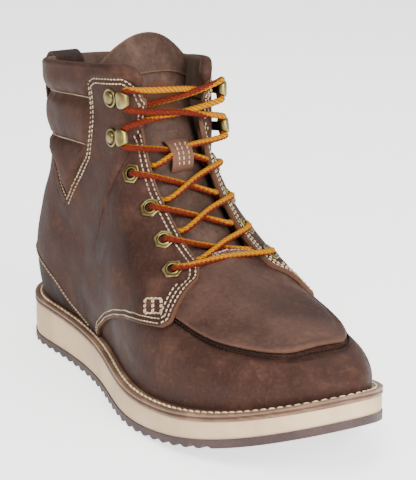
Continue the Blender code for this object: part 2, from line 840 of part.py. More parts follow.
def make_cross(name, lower, upper, hub, finish):
    """Two strands that cross between two pairs of fittings, joined in one hub."""
    arms = []
    for side in (LATERAL, MEDIAL):
        if lower in HOOK_ROWS:
            arms.append([throat_edge(side, lower[1] + HOOK_CLIMB, HOOK_OVER, HOOK_INWARD)])
        else:
            arms.append([throat_edge(side, lower[1] + UNDER_CLIMB, -QUARTER_THICK / 2, UNDER_INWARD)])
    for side in (MEDIAL, LATERAL):
        if upper in HOOK_ROWS:
            arms.append([throat_edge(side, upper[1] - HOOK_CLIMB, HOOK_OVER, HOOK_INWARD)])
        else:
            arms.append([over_edge(side, upper[1] + EDGE_CLIMB), lace_end(side, *upper)])
    if hub is None:
        hub = sum(arm[0] for arm in arms) / 4
    ways = [(arm[0] - hub) / np.linalg.norm(arm[0] - hub) for arm in arms]
    up = np.cross(ways[1] - ways[0], ways[2] - ways[1])
    up *= math.copysign(1 / np.linalg.norm(up), up[0])
    points, faces, size = [], [], LACE_THICK / 2
    for k in range(4):
        corner = ways[k] + ways[(k + 1) % 4]
        corner *= size * HUB_SPREAD / np.linalg.norm(corner)
        points += [hub + corner - up * size, hub + corner + up * size]
    faces += [(0, 2, 4, 6), (7, 5, 3, 1)]
    for k, arm in enumerate(arms):
        left, right = 2 * k, 2 * ((k - 1) % 4)
        flat = np.cross(up, ways[k])
        ring = [left, right, right + 1, left + 1]
        if (points[right] - points[left]) @ flat < 0:
            ring = [right, left, left + 1, right + 1]
        sweep(points, faces, ring, arm, hub, up)
    solid(name, points, faces, finish)


def make_bar(name, row, finish):
    """The lowest strand, straight across between the first pair of eyelets."""
    ends = [[lace_end(side, *row), over_edge(side, row[1] + EDGE_CLIMB)] for side in (LATERAL, MEDIAL)]
    path = ends[0] + ends[1][::-1]
    points, faces = [], []
    sweep(points, faces, None, path, path[0] * 2 - path[1], np.array([0.5, 0.0, 1.0]))
    solid(name, points, faces, finish)


def centre_boot():
    """Set the origin on the floor under the middle of the boot."""
    corners = [v.co for o in bpy.data.objects for v in o.data.vertices]
    low, high = np.min(corners, axis=0), np.max(corners, axis=0)
    for o in bpy.data.objects:
        for v in o.data.vertices:
            v.co.x -= (low[0] + high[0]) / 2
            v.co.y -= (low[1] + high[1]) / 2
            v.co.z -= low[2]


def build_boot():
    for old in list(bpy.data.objects):
        bpy.data.objects.remove(old)
    rubber = material("tread_rubber", (0.13, 0.075, 0.07), 0.7)
    foam = material("wedge_foam", (0.73, 0.66, 0.57), 0.6)
    edge = material("welt_leather", (0.26, 0.155, 0.09), 0.55)
    hide = material("oiled_leather", (0.098, 0.061, 0.047), 0.5)
    dark = material("counter_leather", (0.06, 0.038, 0.03), 0.5)
    pad = material("collar_leather", (0.105, 0.066, 0.05), 0.55)
    board = material("insole_board", (0.2, 0.15, 0.11), 0.8)
    brass = material("antique_brass", (0.45, 0.4, 0.22), 0.35, 1.0)
    cord = material("lace_cord", (0.55, 0.28, 0.05), 0.8)

    make_outsole(rubber)
    make_midsole(foam)
    make_welt(edge)
    make_insole(board)
    make_upper(hide)
    make_tongue(hide)
    make_plug(hide)
    make_quarter("quarter_lateral", LATERAL, hide)
    make_quarter("quarter_medial", MEDIAL, hide)
    make_counter(dark)
    make_quilt(pad)
    make_keeper(hide)
    make_loop(hide)
    for side, word in ((LATERAL, "lateral"), (MEDIAL, "medial")):
        for i, row in enumerate(EYELET_ROWS, 1):
            make_eyelet(f"eyelet_{word}_{i}", side, *row, brass)
        for i, row in enumerate(HOOK_ROWS, 1):
            make_hook(f"hook_{word}_{i}", side, *row, brass)
    make_bar("lace_bar", EYELET_ROWS[0], cord)
    fittings = EYELET_ROWS + HOOK_ROWS
    under_keeper = tongue_point(KEEPER_ALONG, 0.0, LACE_THICK / 2 + 2 * GAP)
    for i, (lower, upper) in enumerate(zip(fittings, fittings[1:]), 1):
        hub = under_keeper if upper == HOOK_ROWS[0] else None
        make_cross(f"lace_cross_{i}", lower, upper, hub, cord)
    centre_boot()


build_boot()
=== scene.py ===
import math

import bmesh
import bpy
import numpy as np
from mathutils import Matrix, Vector
from mathutils.bvhtree import BVHTree
from mathutils.kdtree import KDTree


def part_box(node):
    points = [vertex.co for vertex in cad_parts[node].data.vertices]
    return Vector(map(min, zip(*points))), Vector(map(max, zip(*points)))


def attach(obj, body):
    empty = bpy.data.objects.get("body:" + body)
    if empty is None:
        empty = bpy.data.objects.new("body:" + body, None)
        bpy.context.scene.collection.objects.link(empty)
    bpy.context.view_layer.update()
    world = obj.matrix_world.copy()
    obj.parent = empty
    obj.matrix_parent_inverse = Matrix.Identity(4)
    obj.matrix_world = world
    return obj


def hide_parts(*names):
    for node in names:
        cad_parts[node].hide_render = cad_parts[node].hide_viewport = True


# Right work boot, dressed: leather panels, stitching, brass, laces and sole.
# Sizes are millimetres from the back of the heel, +x to the toe, outer side at -y.

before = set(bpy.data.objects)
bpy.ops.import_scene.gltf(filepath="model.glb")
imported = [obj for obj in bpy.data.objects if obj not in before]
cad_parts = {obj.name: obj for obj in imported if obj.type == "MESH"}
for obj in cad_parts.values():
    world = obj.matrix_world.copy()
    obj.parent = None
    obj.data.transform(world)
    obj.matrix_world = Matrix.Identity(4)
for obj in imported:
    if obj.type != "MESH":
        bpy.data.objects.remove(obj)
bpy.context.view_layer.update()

mm = 0.001
lateral, medial = -1.0, 1.0

boot = {
    "length": 302.0, "toeSpring": 29.5, "springStart": 0.57, "toeSwing": 4.5, "swingStart": 0.45,
    "heelRound": 0.14, "heelPower": 2.0, "toeRound": 0.305, "toePower": 2.1, "endLand": 0.25,
    "outsole": 4.6, "welt": 4.4, "margin": 6.0, "wall": 2.2,
    "throatHalf": 17.0, "throatBottom": 0.43, "throatOpen": 0.448, "throatEnd": 0.75,
    "cornerZ": 160.0, "cornerFlare": 0.04,
    "collarFront": 0.62, "collarX": (8.0, 138.0), "collarHalf": 30.0,
    "collarBackZ": 163.0, "collarRise": 15.0, "frontPower": 4.0, "backPower": 2.2,
}
soleRows = (  # share of the length, half width outside, half width inside
    (0.00, 33.5, 33.5), (0.12, 34.5, 34.5), (0.25, 34.8, 34.0), (0.42, 41.5, 39.0), (0.58, 53.5, 51.0),
    (0.70, 54.6, 54.5), (0.82, 52.3, 53.4), (0.92, 47.0, 48.0), (1.00, 38.5, 38.5),
)
wedgeRows = ((0.00, 23.6), (0.25, 21.9), (0.62, 15.7), (1.00, 12.7))  # share, height of the welt
ridgeRows = (  # rib, x, z of the centre line from toe to collar
    (0.00, 254.0, 64.0), (0.14, 248.0, 65.5), (0.25, 234.0, 69.5), (0.35, 213.0, 76.5), (0.43, 190.0, 86.0),
    (0.50, 168.0, 105.5), (0.56, 149.0, 129.5), (0.59, 142.0, 153.0), (0.62, 138.0, 178.0),
)
ribRows = (  # rib, rise, swell, over, shoulder
    (0.00, 11.0, 3.0, 24.4, 58.4), (0.14, 14.0, 3.5, 29.5, 60.3), (0.25, 20.0, 4.5, 32.8, 65.5),
    (0.35, 28.0, 4.0, 37.9, 73.2), (0.43, 38.0, 3.0, 45.8, 82.0), (0.50, 50.0, 3.0, 47.9, 102.0),
    (0.56, 54.0, 4.0, 45.0, 118.0), (0.59, 53.0, 4.5, 41.0, 121.5), (0.62, 51.0, 5.0, 37.0, 122.5),
    (0.66, 49.0, 5.5, 31.0, 122.0), (0.72, 48.0, 7.0, 23.5, 119.7), (0.86, 46.0, 14.0, 13.8, 110.3),
    (1.00, 44.0, 18.0, -17.9, 107.8),
)


def curveThrough(knots, values):  # natural cubic through the values
    knots, values = np.asarray(knots, float), np.asarray(values, float)
    step, count = np.diff(knots), len(knots)
    matrix, right = np.eye(count), np.zeros(count)
    for i in range(1, count - 1):
        matrix[i, i - 1 : i + 2] = step[i - 1], 2 * (step[i - 1] + step[i]), step[i]
        right[i] = 6 * ((values[i + 1] - values[i]) / step[i] - (values[i] - values[i - 1]) / step[i - 1])
    bend = np.linalg.solve(matrix, right)

    def at(t):
        t = np.asarray(t, float)
        i = np.clip(np.searchsorted(knots, t) - 1, 0, count - 2)
        h, a, b = step[i], knots[i + 1] - t, t - knots[i]
        ends = values[i] * a / h + values[i + 1] * b / h
        return ends + bend[i] * (a**3 / h - a * h) / 6 + bend[i + 1] * (b**3 / h - b * h) / 6

    return at


def tableCurves(rows, mirrors=()):  # one curve for each column, level where it meets a mirror
    table = np.array(rows, float)
    for at in mirrors:
        beyond = table[np.abs(table[:, 0] - at) > 1e-9] * 1.0
        beyond[:, 0] = 2 * at - beyond[:, 0]
        table = np.vstack([table, beyond[np.argsort(np.abs(beyond[:, 0] - at))[:3]]])
    table = table[np.argsort(table[:, 0])].T
    return [curveThrough(table[0], column) for column in table[1:]]


lateralHalf, medialHalf = tableCurves(soleRows)
(wedgeHeight,) = tableCurves(wedgeRows)
ridgeX, ridgeZ = tableCurves(ridgeRows, mirrors=(0.0,))
ribRise, ribSwell, ribOver, ribShoulder = tableCurves(ribRows, mirrors=(0.0, 1.0))


def smooth(t):
    t = np.clip(t, 0, 1)
    return t * t * (3 - 2 * t)


def bell(value, middle, width):
    return np.exp(-(((value - middle) / width) ** 2))


def treadLine(x):
    t = np.clip((x / boot["length"] - boot["springStart"]) / (1 - boot["springStart"]), 0, 1)
    return boot["toeSpring"] * t**2


def weltUnder(x):
    return treadLine(x) + wedgeHeight(np.clip(x / boot["length"], 0, 1))


def weltTop(x):
    return weltUnder(x) + boot["welt"]


def centreLine(x):
    t = np.clip((x / boot["length"] - boot["swingStart"]) / (1 - boot["swingStart"]), 0, None)
    return boot["toeSwing"] * t**2


def planEdge(side, x, inset):  # y of the sole's edge at x
    along = np.clip((x - inset) / (boot["length"] - 2 * inset), 0, 1)
    heel = 1 - (1 - np.clip(along / boot["heelRound"], 0, 1)) ** boot["heelPower"]
    toe = 1 - (1 - np.clip((1 - along) / boot["toeRound"], 0, 1)) ** boot["toePower"]
    half = np.where(np.asarray(side) < 0, lateralHalf(along), medialHalf(along)) - inset
    return centreLine(x) + side * half * heel ** (1 / boot["heelPower"]) * toe ** (1 / boot["toePower"])


def edgePoint(side, around, inset):
    x = inset + (boot["length"] - 2 * inset) * (1 + np.cos(np.pi * around)) / 2
    return x, planEdge(side, x, inset)


def outward(side, around):  # plan direction square to the feather line
    step = 1e-3
    ax, ay = edgePoint(side, np.clip(around - step, 0, 1), boot["margin"])
    bx, by = edgePoint(side, np.clip(around + step, 0, 1), boot["margin"])
    run = np.hypot(bx - ax, by - ay)
    ox, oy = -(by - ay) / run, (bx - ax) / run
    flip = np.where(oy * side > 0, 1.0, -1.0)
    ends = (around < step) | (around > 1 - step)
    return np.where(ends, np.where(around < 0.5, 1.0, -1.0), ox * flip), np.where(ends, 0.0, oy * flip)


def topHalf(around):
    turn = np.pi * np.clip((1 - around) / (1 - boot["collarFront"]), 0, 1)
    power = np.where(turn < np.pi / 2, boot["backPower"], boot["frontPower"])
    half = boot["collarHalf"] * np.clip(1 - np.abs(np.cos(turn)) ** power, 0, 1) ** (1 / power)
    return np.where(around <= boot["collarFront"], 0.0, half)


def topPoint(side, around):
    back, front = boot["collarX"]
    share = (1 - np.cos(np.pi * np.clip((1 - around) / (1 - boot["collarFront"]), 0, 1))) / 2
    onRidge = around <= boot["collarFront"]
    x = np.where(onRidge, ridgeX(around), back + (front - back) * share)
    z = np.where(onRidge, ridgeZ(around), boot["collarBackZ"] + boot["collarRise"] * share)
    half = topHalf(around)
    return x, centreLine(x) + side * half, z, half


def ribPlace(turn):  # side and rib of a turn: 0 toe, 1 heel by the inner side, 2 toe again
    turn = np.mod(turn, 2.0)
    return np.where(turn <= 1, 1.0, -1.0), np.where(turn <= 1, turn, 2 - turn)


def turnOf(side, around):
    return around if side > 0 else 2 - around


def lastPoint(turn, height):
    side, around = ribPlace(turn)
    fx, fy = edgePoint(side, around, boot["margin"])
    ox, oy = outward(side, around)
    ex, ey, ez, half = topPoint(side, around)
    over, swell, fz = ribOver(around) - half, ribSwell(around), weltTop(fx)
    t, s = height, 1 - height
    b0, b1, b2, b3 = s**3, 3 * t * s * s, 3 * t * t * s, t**3
    x = (b0 + b1) * fx + b1 * ox * swell + b2 * ox * over + (b2 + b3) * ex
    y = (b0 + b1) * fy + b1 * oy * swell + b2 * oy * over + (b2 + b3) * ey
    z = (b0 + b1) * fz + b1 * ribRise(around) + b2 * ribShoulder(around) + b3 * ez
    return np.stack(np.broadcast_arrays(x, y, z), -1)


def unit(v):
    return v / np.linalg.norm(v, axis=-1, keepdims=True)


def hideNormal(turn, height):
    step = 2e-3
    turn, height = np.broadcast_arrays(np.asarray(turn, float), np.asarray(height, float))
    t = np.clip(height, 0.01, 0.985)
    along = lastPoint(turn + step, t) - lastPoint(turn - step, t)
    rise = lastPoint(turn, t + step) - lastPoint(turn, t - step)
    out = np.cross(along, rise)
    ridge = (height >= 1) & (ribPlace(turn)[1] <= boot["throatBottom"] + 1e-9)
    out[..., 1] = np.where(ridge, 0.0, out[..., 1])
    return unit(out)


# Creases and hollows that handling leaves: points on the boot, half width, depth
creases = (
    (((152, 34, 104), (124, 37, 88), (92, 35, 80), (58, 33, 80)), 13.0, -1.3),
    (((140, 38, 88), (118, 40, 70), (96, 38, 60)), 10.0, -0.8),
    (((164, 38, 80), (140, 43, 62), (122, 42, 44)), 9.0, 0.6),
    (((128, 40, 66), (121, 41, 50), (119, 41, 36)), 7.0, -0.7),
    (((34, 27, 104), (18, 18, 97), (8, 4, 95)), 10.0, -0.8),
    (((216, 38, 62), (222, 18, 74), (224, 0, 76)), 7.0, -0.45),
    (((205, 36, 68), (210, 16, 79), (212, 0, 81)), 6.0, -0.4),
    (((258, 44, 46), (276, 30, 46), (286, 8, 48)), 12.0, 0.5),
    (((192, 28, 76), (197, 12, 84), (198, 0, 85)), 3.6, -1.2),
    (((236, 50, 40), (206, 52, 38), (184, 50, 38)), 9.0, -0.5),
)


def toPath(points, path):  # distance of points to a line of straight steps
    best = np.full(points.shape[:-1], 1e9)
    for a, b in zip(path[:-1], path[1:]):
        run = b - a
        t = np.clip(((points - a) @ run) / (run @ run), 0, 1)
        best = np.minimum(best, np.linalg.norm(points - a - t[..., None] * run, axis=-1))
    return best


def handling(points):
    lift = np.zeros(points.shape[:-1])
    for path, width, depth in creases:
        for side in (lateral, medial):
            line = np.array(path, float) * (1.0, side, 1.0)
            line[:, 0] += 2.0 * (side > 0)
            lift += depth * bell(toPath(points, line), 0.0, width) * (1.0 if side < 0 else 0.8)
    x, y, z = np.moveaxis(points, -1, 0)
    lift += 0.16 * np.sin(x / 9.0 + 1.3) * np.sin(z / 7.0 + y / 11.0)
    return lift + 0.12 * np.sin(x / 4.3 + y / 5.1) * np.sin(z / 4.7 + 0.6)


def hide(turn, height, lift=0.0):  # a point of the upper, lifted off the last
    point = lastPoint(turn, height)
    rise = np.asarray(lift) + handling(point)
    return point + hideNormal(turn, height) * rise[..., None]


def lastHeight(passes, shape):  # largest height up to 1 that passes, by halving
    low, high = np.zeros(shape), np.ones(shape)
    whole = passes(high)
    for _ in range(26):
        middle = (low + high) / 2
        good = passes(middle)
        low, high = np.where(good, middle, low), np.where(good, high, middle)
    return np.where(whole, 1.0, low)


def heightAt(turn, z):
    return lastHeight(lambda t: lastPoint(turn, t)[..., 2] < z, np.shape(turn))


def cutHeight(turn, spare=0.0, opened=1.0):  # where the throat's edge ends a rib
    def outside(t):
        p = lastPoint(turn, t)
        half = boot["throatHalf"] + spare + boot["cornerFlare"] * np.clip(p[..., 2] - boot["cornerZ"], 0, None) ** 2
        return np.abs(p[..., 1] - centreLine(p[..., 0])) > half * np.sin(np.asarray(opened) * np.pi / 2)

    cut = lastHeight(outside, np.shape(turn))
    return np.where(ribPlace(turn)[1] > boot["throatEnd"], 1.0, cut)


outsoleLow = np.array(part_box("outsole")[0]) / mm
allX = np.linspace(0, boot["length"], 400)
bootOrigin = np.array([boot["endLand"] - outsoleLow[0], planEdge(lateral, allX, 0.0).min() - outsoleLow[1], 0.0])


def toRow(points):  # millimetres from the heel to metres in the part's frame
    return (np.asarray(points, float) - bootOrigin) * mm


def spread(*stops):
    values = []
    for (start, steps), follow in zip(stops[:-1], stops[1:]):
        end = follow[0] if isinstance(follow, tuple) else follow
        values += list(np.linspace(start, end, steps, endpoint=False))
    return np.array(values + [stops[-1]])


# Mesh helpers

sharpAngle = 0.9  # edges that turn by more than this are rounded


def solidMesh(name, points, faces, marks, bevel=0.0, inner=(), profile=0.6):  # points in metres
    mesh = bpy.data.meshes.new(name)
    mesh.from_pydata([tuple(float(c) for c in p) for p in points], [], faces)
    for label, values in marks.items():
        mesh.attributes.new(label, "FLOAT", "POINT").data.foreach_set("value", np.array(values, np.float32))
    bm = bmesh.new()
    bm.from_mesh(mesh)
    bm.faces.ensure_lookup_table()
    for i in inner:
        bm.faces[i].material_index = 1
    bmesh.ops.recalc_face_normals(bm, faces=bm.faces)
    if bm.calc_volume(signed=True) < 0:
        bmesh.ops.reverse_faces(bm, faces=bm.faces)
    if bevel > 0:
        sharp = [e for e in bm.edges if len(e.link_faces) == 2 and e.calc_face_angle(0) > sharpAngle]
        bmesh.ops.bevel(bm, geom=sharp, offset=bevel * mm, segments=3, profile=profile, affect="EDGES",
                        clamp_overlap=True)
    for face in bm.faces:
        face.smooth = True
    bm.to_mesh(mesh)
    bm.free()
    return mesh


def closeMesh(name, points, faces, rim=None, **finish):  # points in millimetres, rim is the distance to the edge
    return solidMesh(name, toRow(points), faces, {} if rim is None else {"rim": rim}, **finish)


def ringFaces(rows, cols, closed):  # faces between rings of points, back to the first ring if closed
    faces = []
    for i in range(rows if closed else rows - 1):
        for j in range(cols):
            a, b = i * cols + j, i * cols + (j + 1) % cols
            c, d = (i + 1) % rows * cols + (j + 1) % cols, (i + 1) % rows * cols + j
            faces.append((a, b, c, d))
    return faces


def pointTree(points):
    tree = KDTree(len(points))
    for i, p in enumerate(points):
        tree.insert(p, i)
    tree.balance()
    return tree


def rimDistance(points, edge):  # millimetres from each point to the nearest edge point
    tree = pointTree(edge)
    return np.array([tree.find(p)[2] for p in points])


def seamKey(turn, height):
    turn = round(float(turn) % 2, 8)
    around = turn if turn <= 1 else 2 - turn
    if height >= 1 and around <= boot["throatBottom"] + 1e-9:
        return (round(around, 8), 1.0)
    return (turn, round(float(height), 8))


def doubleWall(name, quads, border, flat, skins, bevel, lined=False):  # two skins joined along their border
    count = len(flat)
    rim = rimDistance(flat, flat[sorted({i for pair in border for i in pair})])
    faces = quads + [[i + count for i in reversed(ring)] for ring in quads]
    faces += [(b, a, a + count, b + count) for a, b in border]
    innerFaces = range(len(quads), 2 * len(quads)) if lined else ()
    return closeMesh(name, np.vstack(skins(rim)), faces, np.tile(rim, 2), bevel=bevel, inner=innerFaces)


def skinMesh(name, columns, outer, inner, bevel, lined=False):  # a wall over columns of (turn, height) keys
    index, quads = {}, []
    numbered = [[index.setdefault(seamKey(*key), len(index)) for key in column] for column in columns]
    for left, right in zip(numbered, numbered[1:]):
        for i in range(min(len(left), len(right)) - 1):
            ring = list(dict.fromkeys((left[i], right[i], right[i + 1], left[i + 1])))
            if len(ring) > 2:
                quads.append(ring)
    edges = {}
    for ring in quads:
        for a, b in zip(ring, ring[1:] + ring[:1]):
            edges[frozenset((a, b))] = None if frozenset((a, b)) in edges else (a, b)
    border = [pair for pair in edges.values() if pair]
    turn, height = np.array(list(index)).T
    flat = lastPoint(turn, np.clip(height, 0, 1))
    return doubleWall(name, quads, border, flat, lambda rim: [skin(turn, height, rim) for skin in (outer, inner)],
                      bevel, lined)


def gridMesh(name, outer, inner, bevel):  # a wall between two grids of points
    rows, cols = outer.shape[:2]
    corners = [i * cols + j for i in range(rows - 1) for j in range(cols - 1)]
    quads = [[a, a + cols, a + cols + 1, a + 1] for a in corners]
    border = [((i + 1) * cols + j, i * cols + j) for i in range(rows - 1) for j in (0, cols - 1)]
    border += [(i * cols + j + 1, i * cols + j) for i in (0, rows - 1) for j in range(cols - 1)]
    flat, under = outer.reshape(-1, 3), inner.reshape(-1, 3)
    return doubleWall(name, quads, border, flat, lambda rim: [flat, under], bevel)


def tubeMesh(name, sections, rim=None, **finish):  # closed rings of points, capped at both ends
    rows, cols = sections.shape[:2]
    caps = [tuple(reversed(range(cols))), tuple(range((rows - 1) * cols, rows * cols))]
    return closeMesh(name, sections.reshape(-1, 3), ringFaces(rows, cols, False) + caps, rim, **finish)


def addObject(name, data):
    made = bpy.data.objects.new(name, data)
    bpy.context.collection.objects.link(made)
    return made


def makePiece(name, mesh, finishes, nodes=()):
    piece = addObject(name, mesh)
    for finish in finishes:
        mesh.materials.append(finish)
    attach(piece, "root")
    if nodes:
        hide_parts(*nodes)
    return piece


def surfaceOf(piece):
    return BVHTree.FromPolygons([v.co for v in piece.data.vertices], [p.vertices for p in piece.data.polygons])


# Finishes


def srgb(red, green, blue):
    def line(c):
        c /= 255
        return c / 12.92 if c <= 0.04045 else ((c + 0.055) / 1.055) ** 2.4

    return (line(red), line(green), line(blue), 1.0)


class FinishKit:  # short calls for the nodes that every finish uses
    def __init__(self, name):
        self.made = bpy.data.materials.new(name)
        self.made.use_nodes = True
        self.nodes, self.links = self.made.node_tree.nodes, self.made.node_tree.links
        self.shader = self.nodes["Principled BSDF"]
        self.coord = self.nodes.new("ShaderNodeTexCoord").outputs["Object"]

    def put(self, socket, value):
        if isinstance(value, bpy.types.NodeSocket):
            self.links.new(value, socket)
        elif value is not None:
            socket.default_value = value

    def add(self, kind, result, sockets, **settings):
        node = self.nodes.new("ShaderNode" + kind)
        for name, value in settings.items():
            setattr(node, name, value)
        for name, value in sockets.items():
            self.put(node.inputs[name], value)
        return node.outputs[result]

    def stretch(self, scale, turn=(0, 0, 0)):
        return self.add("Mapping", "Vector", {"Vector": self.coord, "Scale": scale, "Rotation": turn})

    def noise(self, scale, detail=4.0, rough=0.5, distort=0.0, vector=None):
        sockets = {"Scale": scale, "Detail": detail, "Roughness": rough, "Distortion": distort}
        return self.add("TexNoise", "Fac", sockets | {"Vector": vector or self.coord})

    def cells(self, scale):
        return self.add("TexVoronoi", "Distance", {"Vector": self.coord, "Scale": scale})

    def fit(self, value, low, high, start=0.0, end=1.0):
        sockets = {"Value": value, "From Min": low, "From Max": high, "To Min": start, "To Max": end}
        return self.add("MapRange", "Result", sockets, interpolation_type="SMOOTHSTEP")

    def sum(self, operation, *values):
        return self.add("Math", "Value", dict(enumerate(values)), operation=operation)

    def mix(self, share, first, second):
        return self.add("Mix", "Result", {"Factor": share, "A": first, "B": second}, data_type="RGBA")

    def attribute(self, name):
        return self.add("Attribute", "Fac", {}, attribute_name=name)

    def bump(self, height, strength, distance, below=None):
        sockets = {"Strength": strength, "Distance": distance, "Height": height, "Normal": below}
        return self.add("Bump", "Normal", sockets)

    def paint(self, **sockets):
        for name, value in sockets.items():
            self.put(self.shader.inputs[name.replace("_", " ")], value)
        return self.made


def leather(name, look):
    kit = FinishKit(name)
    dark, mid, light, edge = (srgb(*look[tone]) for tone in ("dark", "mid", "light", "edge"))
    broad, middle = kit.noise(15.0, 3.0, 0.55, 0.5), kit.noise(58.0, 6.0, 0.62, 0.4)
    fine, pores = kit.noise(430.0, 5.0, 0.7), kit.cells(1700.0)
    folds = kit.noise(130.0, 4.0, 0.6, 0.8)
    base = kit.mix(kit.fit(broad, 0.22, 0.60, 0.2, 1.0), dark, mid)
    base = kit.mix(kit.fit(middle, 0.48, 0.74, 0.0, look["bloom"]), base, light)
    base = kit.mix(kit.fit(middle, 0.48, 0.28, 0.0, 0.35), base, dark)
    base = kit.mix(kit.fit(fine, 0.48, 0.76, 0.0, 0.24), base, light)
    base = kit.mix(kit.fit(fine, 0.50, 0.26, 0.0, 0.4), base, dark)
    for stretch, turn in (((14.0, 620.0, 520.0), (0.4, 0.2, 0.7)), ((560.0, 16.0, 600.0), (0.2, 0.6, 0.3))):
        scratch = kit.noise(1.0, 2.0, 0.5, 0.15, kit.stretch(stretch, turn))
        scuff = kit.sum("MULTIPLY", kit.fit(scratch, 0.64, 0.72), kit.fit(broad, 0.45, 0.62, 0.0, look["scuff"]))
        base = kit.mix(scuff, base, light)
    # tan towards free edges: edge wear on the leather, and on the plug a painted highlight along its rolled edge
    edgeWearAndHighlight = kit.fit(kit.sum("MULTIPLY_ADD", fine, 1.6, kit.attribute("rim")), 2.0, 0.9, 0.0, look["edgeWearAndHighlight"])
    base = kit.mix(edgeWearAndHighlight, base, edge)
    rough = kit.fit(kit.sum("MULTIPLY_ADD", fine, 0.3, middle), 0.45, 0.85, look["rough"], look["rough"] + 0.2)
    normal = kit.bump(folds, 0.30, 0.0008)
    normal = kit.bump(pores, look["grain"], 0.0004, normal)
    normal = kit.bump(fine, 0.3, 0.0004, normal)
    return kit.paint(Base_Color=base, Roughness=rough, Normal=normal, Specular_IOR_Level=look["shine"])


oiled = {
    "dark": (34, 20, 17), "mid": (56, 36, 30), "light": (98, 68, 54), "edge": (106, 74, 54),
    "bloom": 0.4, "scuff": 0.25, "edgeWearAndHighlight": 0.5, "rough": 0.54, "grain": 0.25, "shine": 0.10,
}
leatherOiled = leather("oiledLeather", oiled)
# plug: a lighter copy of the oiled leather, partly rubbed wear on the plug top and partly painted highlight where it
# faces the key light
leatherPlugRubbedAndLit = leather("plugLeather", oiled | {"edgeWearAndHighlight": 0.3, "mid": (71, 50, 43), "light": (104, 76, 62)})
leatherCounter = leather("counterLeather", oiled | {
    "dark": (22, 14, 13), "mid": (36, 24, 21), "bloom": 0.25, "edgeWearAndHighlight": 0.2,
})
leatherCollar = leather("collarLeather", oiled | {"mid": (62, 40, 32), "bloom": 0.5, "edgeWearAndHighlight": 0.0})
leatherTongue = leather("tongueLeather", oiled | {"mid": (71, 53, 45), "light": (102, 80, 68)})
leatherKeeper = leather("keeperLeather", oiled | {"dark": (66, 43, 35), "mid": (92, 64, 52), "edgeWearAndHighlight": 0.5})
leatherLining = leather("liningLeather", oiled | {
    "dark": (58, 46, 39), "mid": (86, 71, 61), "edgeWearAndHighlight": 0.0, "rough": 0.65,
})
leatherSuede = leather("tonguePatchSuede", oiled | {
    "dark": (52, 33, 24), "mid": (78, 50, 36), "light": (92, 62, 44),
    "edgeWearAndHighlight": 0.1, "rough": 0.8, "grain": 0.6, "shine": 0.12,
})


def weltFinish():
    kit = FinishKit("weltLeather")
    fibre = kit.noise(1.0, 4.0, 0.6, 0.0, kit.stretch((90.0, 90.0, 900.0)))
    blotch, fine = kit.noise(45.0, 4.0, 0.6), kit.noise(700.0, 2.0)
    base = kit.mix(kit.fit(blotch, 0.35, 0.7), srgb(92, 64, 46), srgb(124, 92, 68))
    base = kit.mix(kit.fit(fibre, 0.5, 0.75, 0.0, 0.5), base, srgb(158, 126, 96))
    # darker near the welt's grooves: painted shade in the side groove and the stitch channel
    base = kit.mix(kit.fit(kit.attribute("rim"), 0.0, 0.9, 0.6, 0.0), base, srgb(62, 40, 30))
    return kit.paint(Base_Color=base, Roughness=0.55, Normal=kit.bump(fine, 0.25, 0.0004))


def layered(name, textures, ground, layers, bump, **sockets):  # colours laid over the ground by noise
    kit = FinishKit(name)
    made = {label: kit.noise(*how) if isinstance(how, tuple) else kit.cells(how) for label, how in textures.items()}
    base = srgb(*ground)
    for label, low, high, most, colour in layers:
        base = kit.mix(kit.fit(made[label], low, high, 0.0, most), base, srgb(*colour))
    label, strength, distance = bump
    return kit.paint(Base_Color=base, Normal=kit.bump(made[label], strength, distance), **sockets)


def brassFinish():
    kit = FinishKit("antiqueBrass")
    blotch, fine = kit.noise(150.0, 3.0, 0.5), kit.noise(900.0, 2.0)
    base = kit.mix(kit.fit(blotch, 0.35, 0.70), srgb(100, 86, 46), srgb(150, 136, 86))
    # dark in hollows: antique patina, and painted shade inside the eyelet bore and under the hook's head
    base = kit.mix(kit.fit(kit.attribute("patinaAndShade"), 0.1, 0.8, 0.0, 0.95), base, srgb(28, 22, 12))
    return kit.paint(Base_Color=base, Metallic=0.85, Roughness=kit.fit(fine, 0.3, 0.7, 0.30, 0.40))


def threadFinish(name, light, dark):
    return layered(name, {"twist": (1900.0, 2.0), "tone": (90.0, 3.0)}, dark, [("tone", 0.35, 0.65, 1.0, light)],
                   ("twist", 0.4, 0.0002), Roughness=0.8, Specular_IOR_Level=0.1)


def cordFinish():
    kit = FinishKit("laceCord")
    split = kit.nodes.new("ShaderNodeSeparateXYZ")
    kit.put(split.inputs["Vector"], kit.nodes.new("ShaderNodeTexCoord").outputs["UV"])
    around, along = split.outputs["X"], split.outputs["Y"]
    turn = kit.sum("MULTIPLY", around, 2 * math.pi)
    lean = kit.sum("MULTIPLY", along, 24.0)
    hatch = kit.sum("SINE", kit.sum("MULTIPLY_ADD", turn, 4.0, lean))
    counter = kit.sum("SINE", kit.sum("SUBTRACT", kit.sum("MULTIPLY", turn, 4.0), lean))
    band = kit.sum("SINE", kit.sum("MULTIPLY_ADD", along, 0.12, turn))
    gold = kit.fit(kit.sum("MULTIPLY_ADD", hatch, 0.26, band), 0.10, 0.24)
    base = kit.mix(gold, srgb(84, 12, 11), srgb(156, 100, 0))
    base = kit.mix(kit.fit(hatch, 0.35, 0.95, 0.0, 0.7), base, srgb(44, 16, 6))
    base = kit.mix(kit.fit(kit.noise(1600.0, 2.0), 0.4, 0.8, 0.0, 0.12), base, srgb(186, 128, 8))
    normal = kit.bump(kit.sum("ADD", hatch, counter), 0.25, 0.0002)
    return kit.paint(Base_Color=base, Roughness=0.8, Specular_IOR_Level=0.1, Normal=normal)


